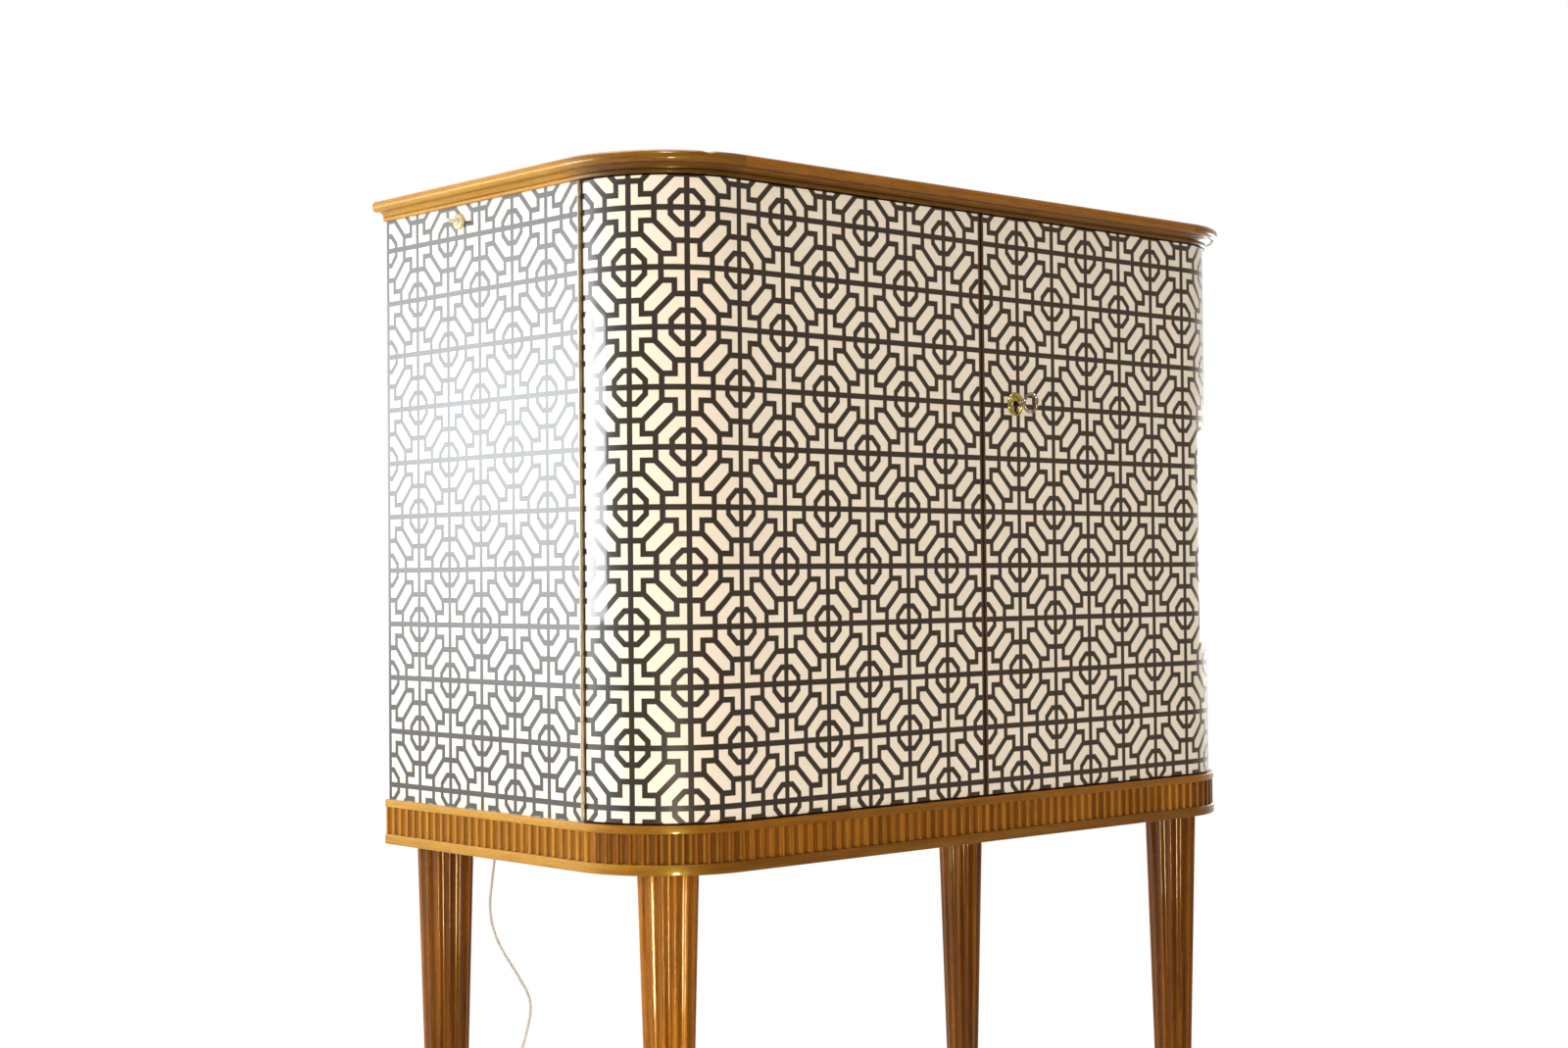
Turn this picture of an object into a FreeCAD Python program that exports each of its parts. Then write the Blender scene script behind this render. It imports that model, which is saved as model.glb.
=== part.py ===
"""Bar cabinet with two wrap-round doors on four fluted legs. Sizes are in millimetres.

The origin is on the floor under the middle of the cabinet's outline, +Z is up,
the doors face -Y and +X is the side of the keyed door.
"""
import FreeCAD
import Part
import math
import os

V = FreeCAD.Vector
UP = V(0, 0, 1)
RIGHTWARDS = V(1, 0, 0)
BACKWARDS = V(0, 1, 0)

# Driving sizes of the whole cabinet
width = 910.0
depth = 452.0
corner_radius = 106.0
leg_length = 485.0
door_height = 620.0
door_gap_below = 2.0
door_gap_above = 1.5
overrun = 5.0
running_gap = 0.3

# Top board and its moulding
top_thickness = 20.5
nose_overhang = 18.0
nose_height = 11.5
nose_bulge = 5.2
bead_overhang = 4.5
bead_height = 4.6
cove_rise_share = 0.35
moulding_inset = 8.0

# Frieze under the doors
lower_band_height = 10.5
flute_height = 29.0
upper_band_height = 8.0
lower_band_proud = 5.5
upper_band_proud = 5.0
band_edge_radius = 2.0
ridge_proud = 4.0
flute_depth = 2.4
ridge_width = 1.8
side_flutes = 27
front_flutes = 55
corner_flutes = 12
rail_depth = 20.0
back_rail_depth = 16.0
leg_block_size = 70.0

# Legs
leg_top_radius = 30.2
leg_foot_radius = 16.5
leg_flutes = 14
leg_hollow_share = 0.075
tenon_radius = 13.0
tenon_length = 36.0
tenon_gap = 0.05
front_leg_from_side = 66.5
front_leg_from_front = 61.0
rear_leg_from_side = 51.0
rear_leg_from_back = 31.0

# Carcass
skin_thickness = 1.0
side_thickness = 17.0
floor_thickness = 18.0
back_thickness = 6.0
door_clearance = 2.0
shelf_thickness = 16.0
shelf_height = 320.0
shelf_setback = 60.0
mirror_thickness = 4.0
mirror_half_width = 300.0
mirror_margin = 6.0
glass_thickness = 6.0
glass_height = 125.0
glass_setback = 120.0
glass_back_gap = 34.0
glass_side_gap = 1.5
pin_radius = 2.5
pin_length = 16.0
pin_seat_depth = 8.0
pin_from_edge = 30.0
stop_half_width = 60.0
stop_depth = 12.0
stop_height = 12.0

# Doors
core_thickness = 18.0
lipping_width = 3.0
meeting_gap = 2.8

# Piano hinges
barrel_radius = 2.1
barrel_clear = 0.1
hinge_pin_radius = 0.9
hinge_bore_gap = 0.06
leaf_thickness = 1.0
leaf_clearance = 0.2
leaf_width = 15.0
knuckles = 39
knuckle_gap = 0.3
web_start = 1.25

# Bolts of the left door
bolt_radius = 3.0
bolt_length = 80.0
bolt_travel = 9.0
bolt_from_edge = 22.0
bolt_inset = 13.0
bolt_end_gap = 0.5
bolt_socket_depth = 11.0
thumb_radius = 3.0
thumb_reach = 7.0
thumb_from_end = 60.0

# Lock, key and escutcheon
lock_from_middle = 52.0
lock_below_door_top = 201.3
case_width = 66.0
case_height = 46.0
case_depth = 12.5
case_wall = 1.5
case_from_edge = 3.6
lock_bolt_length = 34.0
lock_bolt_height = 12.0
lock_bolt_depth = 5.0
lock_bolt_travel = 8.0
lock_bolt_rest_gap = 0.2
strike_thickness = 1.0
strike_height = 44.0
strike_depth = 13.0
strike_from_front = 3.0
strike_pocket = 10.0
escutcheon_radius = 13.2
escutcheon_thickness = 1.2
rim_radius = 1.5
shank_radius = 2.5
key_reach = 42.0
bow_radius = 11.0
bow_wire = 1.6
bit_height = 10.0
bit_width = 2.0
bit_length = 5.0
key_tip_from_front = 16.0

# Lamp, its switch and the wiring inside
switch_from_front = 313.0
switch_below_top = 16.2
switch_collar_radius = 8.7
switch_collar_length = 4.4
switch_nose_radius = 5.0
switch_shaft_radius = 3.0
switch_shaft_depth = 14.0
switch_reach = 17.5
switch_wing_width = 10.0
switch_wing_thickness = 3.4
switch_hub_radius = 4.6
switch_hub_length = 3.0
switch_body_depth = 18.0
switch_body_size = 20.0
lamp_from_front = 62.0
lamp_half_length = 150.0
lamp_base_width = 26.0
lamp_base_thickness = 3.0
lamp_end_length = 14.0
lamp_end_height = 26.0
lamp_tube_radius = 9.0
lamp_tube_drop = 15.0
lead_radius = 1.3
lead_turn_radius = 12.0
lead_below_top = 8.0
lead_from_side = 14.0

# Power cord
cord_diameter = 3.0
gland_x = -329.0
gland_from_back = 24.0
gland_hole_radius = 5.0
gland_flange_radius = 7.0
gland_flange_thickness = 2.5
gland_tail_length = 18.0
gland_tail_radius = 2.6
cord_floor_height = 1.6
cord_arc_share = 0.45
coil_centre_x = -270.0
coil_centre_y = 150.0
coil_outer_radius = 21.5
coil_step = 3.9
coil_layers = 4
coil_turns_per_layer = 2.5
coil_lead = 3.0
coil_tail = 26.0
boot_length = 18.0
boot_tip_radius = 2.4
boot_base_radius = 4.5
plug_radius = 12.8
plug_length = 26.0
plug_waist_radius = 9.0
plug_pin_radius = 2.4
plug_pin_length = 19.0
plug_pin_spacing = 12.6

# Places worked out from the sizes above
half_width = width / 2
front_y = -(depth - key_reach) / 2
back_y = front_y + depth
corner_x = half_width - corner_radius
corner_y = front_y + corner_radius
lower_band_top = leg_length + lower_band_height
flutes_top = lower_band_top + flute_height
frieze_top = flutes_top + upper_band_height
door_bottom = frieze_top + door_gap_below
door_top = door_bottom + door_height
carcass_top = door_top + door_gap_above
cabinet_top = carcass_top + top_thickness
door_thickness = skin_thickness + core_thickness
joint_half = leaf_clearance + leaf_thickness
side_inner_x = half_width - skin_thickness - side_thickness
side_front_y = corner_y + joint_half
board_inset = door_thickness + door_clearance
back_inner_y = back_y - back_thickness
floor_top = frieze_top + floor_thickness
shelf_bottom = floor_top + shelf_height
shelf_top = shelf_bottom + shelf_thickness
glass_bottom = shelf_top + glass_height
hinge_x = half_width + barrel_radius + barrel_clear
lipping_x = meeting_gap / 2 + lipping_width
lock_z = door_top - lock_below_door_top
lock_y = front_y + door_thickness - case_depth / 2
case_x = meeting_gap / 2 + case_from_edge
bolt_x = -(meeting_gap / 2 + bolt_from_edge)
bolt_y = front_y + bolt_inset
switch_y = front_y + switch_from_front
switch_z = carcass_top - switch_below_top
lamp_y = front_y + lamp_from_front
lamp_z = carcass_top - lamp_tube_drop
gland_y = back_y - gland_from_back
gland_foot = frieze_top - gland_flange_thickness - gland_tail_length


def save(name, shape):
    """Write one piece and say how big it is."""
    shape.exportStep("parts/" + name + ".step")
    print(name, len(shape.Solids), round(shape.Volume))


def box(x0, x1, y0, y1, z0, z1):
    """A box between two corners."""
    return Part.makeBox(x1 - x0, y1 - y0, z1 - z0, V(x0, y0, z0))


def rod(radius, length, start, direction):
    """A round bar from a point along a direction."""
    return Part.makeCylinder(radius, length, start, direction)


def mirrored(shape):
    """The same piece on the other side of the cabinet."""
    return shape.mirror(V(0, 0, 0), RIGHTWARDS)


def joined(shapes):
    """Several touching solids made one."""
    return shapes[0].fuse(shapes[1:]).removeSplitter()


def group(shapes):
    """Several separate solids kept in one piece."""
    return Part.makeCompound(shapes)


def plan(inset, back, low, height):
    """A board with the cabinet's rounded front outline, set in from its faces."""
    half = half_width - inset
    radius = corner_radius - inset
    slant = radius * math.sqrt(0.5)
    front = front_y + inset
    left_back = V(-half, back, low)
    left_turn = V(-half, corner_y, low)
    left_front = V(-corner_x, front, low)
    right_front = V(corner_x, front, low)
    right_turn = V(half, corner_y, low)
    right_back = V(half, back, low)
    left_middle = V(-corner_x - slant, corner_y - slant, low)
    right_middle = V(corner_x + slant, corner_y - slant, low)
    edges = [
        Part.LineSegment(left_back, left_turn).toShape(),
        Part.Arc(left_turn, left_middle, left_front).toShape(),
        Part.LineSegment(left_front, right_front).toShape(),
        Part.Arc(right_front, right_middle, right_turn).toShape(),
        Part.LineSegment(right_turn, right_back).toShape(),
        Part.LineSegment(right_back, left_back).toShape(),
    ]
    return Part.Face(Part.Wire(edges)).extrude(UP * height)


def shell(outer, inner, low, height):
    """The rounded wall between two insets, open at the back."""
    wall = plan(outer, back_y, low, height)
    return wall.cut(plan(inner, back_y + overrun, low - overrun, height + 2 * overrun))


def section_at(places, arcs):
    """A section in the plane across the left side; places are (out, height) pairs.

    An arc is named by the index of its first place and its middle place.
    """
    points = [V(-half_width - out, back_y, height) for out, height in places]
    edges = []
    for index, start in enumerate(points):
        end = points[(index + 1) % len(points)]
        if index in arcs:
            out, height = arcs[index]
            middle = V(-half_width - out, back_y, height)
            edges.append(Part.Arc(start, middle, end).toShape())
        else:
            edges.append(Part.LineSegment(start, end).toShape())
    return Part.Face(Part.Wire(edges))


def side_run(section):
    """A section drawn along the left side as far as the corner."""
    return section.extrude(V(0, corner_y - back_y, 0))


def corner_run(section):
    """A section turned round the left front corner."""
    face = section.copy()
    face.translate(V(0, corner_y - back_y, 0))
    return face.revolve(V(-corner_x, corner_y, 0), UP, 90)


def front_run(section):
    """A section drawn along the front between the corners."""
    face = section.copy()
    face.translate(V(0, corner_y - back_y, 0))
    face.rotate(V(-corner_x, corner_y, 0), UP, 90)
    return face.extrude(V(2 * corner_x, 0, 0))


def moulding_section():
    """Bead, cove and round nose along the edge of the top."""
    nose_low = cabinet_top - nose_height
    bead_top = carcass_top + bead_height
    nose_root = nose_overhang - nose_bulge
    cove_out = (bead_overhang + nose_root) / 2
    cove_height = bead_top + (nose_low - bead_top) * cove_rise_share
    places = [
        (-moulding_inset, carcass_top),
        (bead_overhang, carcass_top),
        (bead_overhang, bead_top),
        (nose_root, nose_low),
        (nose_root, cabinet_top),
        (-moulding_inset, cabinet_top),
    ]
    arcs = {
        2: (cove_out, cove_height),
        3: (nose_overhang, cabinet_top - nose_height / 2),
    }
    return section_at(places, arcs)


def band_section(low, height, proud):
    """A flat band with rounded outer edges."""
    lean = band_edge_radius * (1 - math.sqrt(0.5))
    high = low + height
    places = [
        (-moulding_inset, low),
        (proud - band_edge_radius, low),
        (proud, low + band_edge_radius),
        (proud, high - band_edge_radius),
        (proud - band_edge_radius, high),
        (-moulding_inset, high),
    ]
    arcs = {
        1: (proud - lean, low + lean),
        3: (proud - lean, high - lean),
    }
    return section_at(places, arcs)


def make_top():
    """The top board and the five lengths of moulding round its edge."""
    board = plan(moulding_inset, back_y, carcass_top, top_thickness)
    socket = rod(bolt_radius + running_gap, bolt_socket_depth, V(bolt_x, bolt_y, carcass_top), UP)
    save("top_board", board.cut(socket))
    section = moulding_section()
    side = side_run(section)
    corner = corner_run(section)
    save("top_moulding_left", side)
    save("top_moulding_left_corner", corner)
    save("top_moulding_front", front_run(section))
    save("top_moulding_right_corner", mirrored(corner))
    save("top_moulding_right", mirrored(side))


def make_band(name, low, height, proud):
    """One band round three sides of the frieze."""
    section = band_section(low, height, proud)
    side = side_run(section)
    corner = corner_run(section)
    pieces = [side, corner, front_run(section), mirrored(corner), mirrored(side)]
    save(name, joined(pieces))


def fluted_outline(spots, hollows, inner):
    """A strip's plan: ridge ends in spots, a hollow's middle between each pair."""
    edges = []
    for index in range(len(spots) - 1):
        if index % 2:
            middle = hollows[index // 2]
            edges.append(Part.Arc(spots[index], middle, spots[index + 1]).toShape())
        else:
            edges.append(Part.LineSegment(spots[index], spots[index + 1]).toShape())
    edges.append(Part.LineSegment(spots[-1], inner[-1]).toShape())
    edges += inner_edges(inner)
    edges.append(Part.LineSegment(inner[0], spots[0]).toShape())
    return Part.Face(Part.Wire(edges)).extrude(UP * flute_height)


def inner_edges(inner):
    """The back of a strip, straight for two points and round for three."""
    if len(inner) == 2:
        return [Part.LineSegment(inner[1], inner[0]).toShape()]
    return [Part.Arc(inner[2], inner[1], inner[0]).toShape()]


def straight_flutes(place, length, count):
    """A straight fluted strip; place gives the point for a distance along and out."""
    pitch = length / count
    spots = [place(0, ridge_proud)]
    hollows = []
    for index in range(count):
        spots.append(place(index * pitch + ridge_width / 2, ridge_proud))
        hollows.append(place((index + 0.5) * pitch, ridge_proud - flute_depth))
        spots.append(place((index + 1) * pitch - ridge_width / 2, ridge_proud))
    spots.append(place(length, ridge_proud))
    inner = [place(0, -moulding_inset), place(length, -moulding_inset)]
    return fluted_outline(spots, hollows, inner)


def corner_place(turn, out):
    """A point of the left corner, by its turn from the side in radians."""
    radius = corner_radius + out
    x = -corner_x - radius * math.cos(turn)
    y = corner_y - radius * math.sin(turn)
    return V(x, y, lower_band_top)


def corner_flute_piece():
    """The fluted piece that turns the left front corner."""
    quarter = math.pi / 2
    pitch = quarter / corner_flutes
    half_ridge = ridge_width / (2 * (corner_radius + ridge_proud))
    spots = [corner_place(0, ridge_proud)]
    hollows = []
    for index in range(corner_flutes):
        spots.append(corner_place(index * pitch + half_ridge, ridge_proud))
        hollows.append(corner_place((index + 0.5) * pitch, ridge_proud - flute_depth))
        spots.append(corner_place((index + 1) * pitch - half_ridge, ridge_proud))
    spots.append(corner_place(quarter, ridge_proud))
    inner = [corner_place(turn, -moulding_inset) for turn in (0, quarter / 2, quarter)]
    return fluted_outline(spots, hollows, inner)


def side_place(along, out):
    """A point of the left strip, counted from the back."""
    return V(-half_width - out, back_y - along, lower_band_top)


def front_place(along, out):
    """A point of the front strip, counted from the left corner."""
    return V(-corner_x + along, front_y - out, lower_band_top)


def make_frieze():
    """Two bands with five fluted pieces between them."""
    make_band("lower_band", leg_length, lower_band_height, lower_band_proud)
    make_band("upper_band", flutes_top, upper_band_height, upper_band_proud)
    side = straight_flutes(side_place, back_y - corner_y, side_flutes)
    corner = corner_flute_piece()
    save("fluted_strip_left", side)
    save("fluted_corners", group([corner, mirrored(corner)]))
    save("fluted_strip_front", straight_flutes(front_place, 2 * corner_x, front_flutes))
    save("fluted_strip_right", mirrored(side))


def leg_places():
    """The middle of each leg, by name."""
    front_x = half_width - front_leg_from_side
    rear_x = half_width - rear_leg_from_side
    front = front_y + front_leg_from_front
    rear = back_y - rear_leg_from_back
    return {
        "front_left_leg": (-front_x, front),
        "front_right_leg": (front_x, front),
        "rear_left_leg": (-rear_x, rear),
        "rear_right_leg": (rear_x, rear),
    }


def leg_section(radius, middle_x, middle_y, height):
    """A ring of shallow hollows that meet in sharp edges."""
    def spot(turn, reach):
        return V(middle_x + reach * math.sin(turn), middle_y - reach * math.cos(turn), height)

    step = 2 * math.pi / leg_flutes
    hollow = radius * (math.cos(step / 2) - leg_hollow_share)
    edges = []
    for index in range(leg_flutes):
        start = spot(index * step, radius)
        middle = spot((index + 0.5) * step, hollow)
        end = spot((index + 1) * step, radius)
        edges.append(Part.Arc(start, middle, end).toShape())
    return Part.Wire(edges)


def make_legs():
    """Four tapered fluted legs, each with a round tenon."""
    for name, (x, y) in leg_places().items():
        foot = leg_section(leg_foot_radius, x, y, 0)
        head = leg_section(leg_top_radius, x, y, leg_length)
        shaft = Part.makeLoft([foot, head], True, True)
        tenon = rod(tenon_radius, tenon_length, V(x, y, leg_length), UP)
        save(name, joined([shaft, tenon]))


def drilled_for_legs(block):
    """A block with the tenon holes of the legs that it holds."""
    depth_needed = tenon_length + running_gap
    for x, y in leg_places().values():
        start = V(x, y, leg_length)
        block = block.cut(rod(tenon_radius + tenon_gap, depth_needed, start, UP))
    return block


def make_base():
    """Rails and blocks behind the frieze, which carry the floor and the legs."""
    inset = moulding_inset
    rail_x = half_width - inset
    rail_inner_x = rail_x - rail_depth
    left = box(-rail_x, -rail_inner_x, corner_y, back_y, leg_length, frieze_top)
    front_edge = front_y + inset
    front = box(-corner_x, corner_x, front_edge, front_edge + rail_depth, leg_length, frieze_top)
    socket = rod(bolt_radius + running_gap, bolt_socket_depth, V(bolt_x, bolt_y, frieze_top), -UP)
    back_edge = back_y - back_rail_depth
    back = box(-rail_inner_x, rail_inner_x, back_edge, back_y, leg_length, frieze_top)
    save("base_side_rails", group([left, mirrored(left)]))
    save("base_rail_front", front.cut(socket))
    save("base_rail_back", back)
    whole = plan(inset, back_y, leg_length, frieze_top - leg_length)
    corner = whole.common(
        box(-half_width, -corner_x, front_y, corner_y, leg_length, frieze_top))
    corner = drilled_for_legs(corner)
    save("base_corner_blocks", group([corner, mirrored(corner)]))
    block_end = -rail_inner_x + leg_block_size
    block = box(-rail_inner_x, block_end, back_edge - leg_block_size, back_edge,
                leg_length, frieze_top)
    block = drilled_for_legs(block)
    save("rear_leg_blocks", group([block, mirrored(block)]))


def make_sides():
    """The two sides with their printed skins; the left one holds the switch."""
    outer = half_width - skin_thickness
    side = box(-outer, -side_inner_x, side_front_y, back_y, frieze_top, carcass_top)
    skin = box(-half_width, -outer, side_front_y, back_y, frieze_top, carcass_top)
    pins = group(shelf_pins())
    side = side.cut(pins)
    switch_start = V(-half_width - overrun, switch_y, switch_z)
    switch_hole = rod(switch_nose_radius, skin_thickness + side_thickness + 2 * overrun,
                      switch_start, RIGHTWARDS)
    save("left_side", side.cut(switch_hole))
    save("left_side_skin", skin.cut(switch_hole))
    save("right_side", mirrored(side))
    save("right_side_skin", mirrored(skin))


def shelf_pins():
    """Four pins under the glass shelf, half sunk in the sides."""
    height = glass_bottom - pin_radius
    front = side_front_y + pin_from_edge
    rear = back_inner_y - glass_back_gap - pin_from_edge
    start = side_inner_x + pin_seat_depth
    pins = []
    for y in (front, rear):
        left = rod(pin_radius, pin_length, V(-start, y, height), RIGHTWARDS)
        pins.append(left)
        pins.append(mirrored(left))
    return pins


def inner_board(inset, back, low, height):
    """A board that fills the space between the sides behind the doors."""
    board = plan(inset, back, low, height)
    infill = box(-side_inner_x, side_inner_x, side_front_y, back, low, low + height)
    return joined([board, infill])


def wire_hole(radius, low, high):
    """The hole that the wiring runs down through."""
    return rod(radius, high - low + 2 * overrun, V(gland_x, gland_y, low - overrun), UP)


def make_boards():
    """Floor, shelf, back, mirror, glass shelf, its pins and the door stop."""
    floor = inner_board(board_inset, back_inner_y, frieze_top, floor_thickness)
    save("floor_board", floor.cut(wire_hole(gland_hole_radius, frieze_top, floor_top)))
    shelf = plan(shelf_setback, back_inner_y, shelf_bottom, shelf_thickness)
    wings = box(-side_inner_x, side_inner_x, corner_y + shelf_setback, back_inner_y,
                shelf_bottom, shelf_top)
    lead_hole = wire_hole(lead_radius + running_gap, shelf_bottom, shelf_top)
    save("middle_shelf", joined([shelf, wings]).cut(lead_hole))
    save("back_panel", box(-side_inner_x, side_inner_x, back_inner_y, back_y,
                           frieze_top, carcass_top))
    save("mirror", box(-mirror_half_width, mirror_half_width,
                       back_inner_y - mirror_thickness, back_inner_y,
                       shelf_top + mirror_margin, carcass_top - mirror_margin))
    glass_x = side_inner_x - glass_side_gap
    glass_front = front_y + glass_setback
    save("glass_shelf", box(-glass_x, glass_x, glass_front, back_inner_y - glass_back_gap,
                            glass_bottom, glass_bottom + glass_thickness))
    save("shelf_pins", group(shelf_pins()))
    stop_y = front_y + door_thickness + running_gap
    save("door_stop", box(-stop_half_width, stop_half_width, stop_y, stop_y + stop_depth,
                          carcass_top - stop_height, carcass_top))


def left_door_part(outer, inner, edge_x):
    """The left door's share of a wall between two insets."""
    wall = shell(outer, inner, door_bottom, door_height)
    reach = box(-half_width - overrun, -edge_x, front_y - overrun, corner_y - joint_half,
                door_bottom - overrun, door_top + overrun)
    return wall.common(reach)


def door_lipping():
    """The solid strip along the left door's meeting edge."""
    return box(-lipping_x, -meeting_gap / 2, front_y, front_y + door_thickness,
               door_bottom, door_top)


def bolt_and_room(end_z, way):
    """A sliding bolt of the left door, and the room that it needs.

    The bolt runs from end_z into the door; way is the unit vector it slides out by.
    """
    inner_y = front_y + door_thickness
    tip = V(bolt_x, bolt_y, end_z) - way * bolt_end_gap
    shaft = rod(bolt_radius, bolt_length, tip, -way)
    thumb_start = tip - way * thumb_from_end
    thumb = rod(thumb_radius - running_gap, inner_y - bolt_y + thumb_reach, thumb_start, BACKWARDS)
    bolt = joined([shaft, thumb])
    bore_start = V(bolt_x, bolt_y, end_z) + way * overrun
    bore_length = overrun + bolt_end_gap + bolt_length + running_gap
    bore = rod(bolt_radius + running_gap, bore_length, bore_start, -way)
    slot_start = thumb_start - way * thumb_radius
    slot_end = thumb_start + way * (thumb_radius + bolt_travel)
    slot = box(bolt_x - thumb_radius, bolt_x + thumb_radius, bolt_y, inner_y + overrun,
               min(slot_start.z, slot_end.z), max(slot_start.z, slot_end.z))
    return bolt, bore.fuse(slot)


def make_left_door():
    """The left door with its skin, lipping, strike and two bolts."""
    core = left_door_part(skin_thickness, door_thickness, lipping_x)
    top_bolt, top_room = bolt_and_room(door_top, UP)
    bottom_bolt, bottom_room = bolt_and_room(door_bottom, -UP)
    save("left_door_core", core.cut(top_room).cut(bottom_room).cut(strike_room()))
    save("left_door_skin", left_door_part(0, skin_thickness, lipping_x))
    save("left_door_lipping", door_lipping().cut(strike_room()).cut(strike_plate_block()))
    save("strike_plate", strike_plate_block().cut(strike_room()))
    save("left_door_top_bolt", top_bolt)
    save("left_door_bottom_bolt", bottom_bolt)


def strike_plate_block():
    """The plate sunk in the left door's edge, before its slot."""
    start = front_y + strike_from_front
    return box(-meeting_gap / 2 - strike_thickness, -meeting_gap / 2,
               start, start + strike_depth,
               lock_z - strike_height / 2, lock_z + strike_height / 2)


def strike_room():
    """The pocket that takes the lock's bolt."""
    half_depth = lock_bolt_depth / 2 + running_gap
    half_height = lock_bolt_height / 2 + running_gap
    return box(-meeting_gap / 2 - strike_pocket, -meeting_gap / 2 + overrun / 2,
               lock_y - half_depth, lock_y + half_depth,
               lock_z - half_height, lock_z + half_height)


def keyhole(start_y, end_y):
    """The keyhole through everything between two depths."""
    length = end_y - start_y
    start = V(lock_from_middle, start_y, lock_z)
    barrel = rod(shank_radius + running_gap, length, start, BACKWARDS)
    half = bit_width / 2 + running_gap
    slot = box(lock_from_middle - half, lock_from_middle + half, start_y, end_y,
               lock_z - bit_height - running_gap, lock_z)
    return barrel.fuse(slot)


def lock_case_block():
    """The lock's outer shape."""
    inner_y = front_y + door_thickness
    return box(case_x, case_x + case_width, inner_y - case_depth, inner_y,
               lock_z - case_height / 2, lock_z + case_height / 2)


def lock_bolt_bar(gap):
    """The lock's bolt, or the room round it where gap is more than zero."""
    start = meeting_gap / 2 + lock_bolt_rest_gap
    half_depth = lock_bolt_depth / 2 + gap
    half_height = lock_bolt_height / 2 + gap
    return box(start - gap, start + lock_bolt_length + gap, lock_y - half_depth,
               lock_y + half_depth, lock_z - half_height, lock_z + half_height)


def make_lock():
    """Lock case, bolt, key and escutcheon."""
    outer = lock_case_block()
    wall = case_wall
    limits = outer.BoundBox
    hollow = box(limits.XMin + wall, limits.XMax - wall, limits.YMin + wall,
                 limits.YMax - wall, limits.ZMin + wall, limits.ZMax - wall)
    front_hole = keyhole(limits.YMin - overrun, limits.YMin + 2 * wall)
    case = outer.cut(hollow).cut(front_hole).cut(lock_bolt_bar(running_gap))
    save("lock_case", case)
    save("lock_bolt", lock_bolt_bar(0))
    save("key", make_key())
    face = V(lock_from_middle, front_y, lock_z)
    plate = rod(escutcheon_radius - rim_radius, escutcheon_thickness, face, -BACKWARDS)
    rim = Part.makeTorus(escutcheon_radius - rim_radius, rim_radius, face, BACKWARDS)
    rim = rim.common(rod(escutcheon_radius + overrun, rim_radius + overrun, face, -BACKWARDS))
    hole = keyhole(front_y - overrun, front_y + overrun)
    save("escutcheon", joined([plate, rim]).cut(hole))


def make_key():
    """A key with a ring bow, in its unlocked place."""
    bow_y = front_y - key_reach + bow_radius + bow_wire
    bow = Part.makeTorus(bow_radius, bow_wire, V(lock_from_middle, bow_y, lock_z), RIGHTWARDS)
    shank_start = V(lock_from_middle, bow_y + bow_radius, lock_z)
    shank_length = front_y + key_tip_from_front - shank_start.y
    shank = rod(shank_radius, shank_length, shank_start, BACKWARDS)
    bit_y = lock_y - bit_length / 2
    bit = box(lock_from_middle - bit_width / 2, lock_from_middle + bit_width / 2,
              bit_y, bit_y + bit_length, lock_z - bit_height, lock_z)
    return joined([bow, shank, bit])


def make_right_door():
    """The right door with its skin and lipping, cut for the lock."""
    inner_y = front_y + door_thickness
    core = mirrored(left_door_part(skin_thickness, door_thickness, lipping_x))
    skin = mirrored(left_door_part(0, skin_thickness, lipping_x))
    hole = keyhole(front_y - overrun, inner_y)
    bolt_room = lock_bolt_bar(running_gap)
    save("right_door_core", core.cut(lock_case_block()).cut(hole).cut(bolt_room))
    save("right_door_skin", skin.cut(hole))
    mouth = bolt_room.copy()
    mouth.translate(V(-overrun, 0, 0))
    lipping = mirrored(door_lipping()).cut(bolt_room).cut(mouth)
    save("right_door_lipping", lipping)


def hinge_leaf(first, side):
    """A leaf of the left hinge: side is 1 behind the pin and -1 in front of it."""
    near = leaf_clearance * side
    far = joint_half * side
    low_y = corner_y + min(near, far)
    high_y = corner_y + max(near, far)
    plate = box(-half_width, -half_width + leaf_width, low_y, high_y, door_bottom, door_top)
    pitch = door_height / knuckles
    pieces = [plate]
    for index in range(first, knuckles, 2):
        low = door_bottom + index * pitch + knuckle_gap / 2
        start = V(-hinge_x, corner_y, low)
        barrel = rod(barrel_radius, pitch - knuckle_gap, start, UP)
        web = box(-hinge_x + web_start, -half_width, low_y, high_y, low, low + pitch - knuckle_gap)
        pieces += [barrel, web]
    bore = rod(hinge_pin_radius + hinge_bore_gap, door_height + 2 * overrun,
               V(-hinge_x, corner_y, door_bottom - overrun), UP)
    return joined(pieces).cut(bore)


def make_hinges():
    """Two piano hinges, each of two leaves on one long pin."""
    side_leaf = hinge_leaf(0, 1)
    door_leaf = hinge_leaf(1, -1)
    pin = rod(hinge_pin_radius, door_height, V(-hinge_x, corner_y, door_bottom), UP)
    save("left_hinge_side_leaf", side_leaf)
    save("left_hinge_door_leaf", door_leaf)
    save("right_hinge_side_leaf", mirrored(side_leaf))
    save("right_hinge_door_leaf", mirrored(door_leaf))
    save("hinge_pins", group([pin, mirrored(pin)]))


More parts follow.
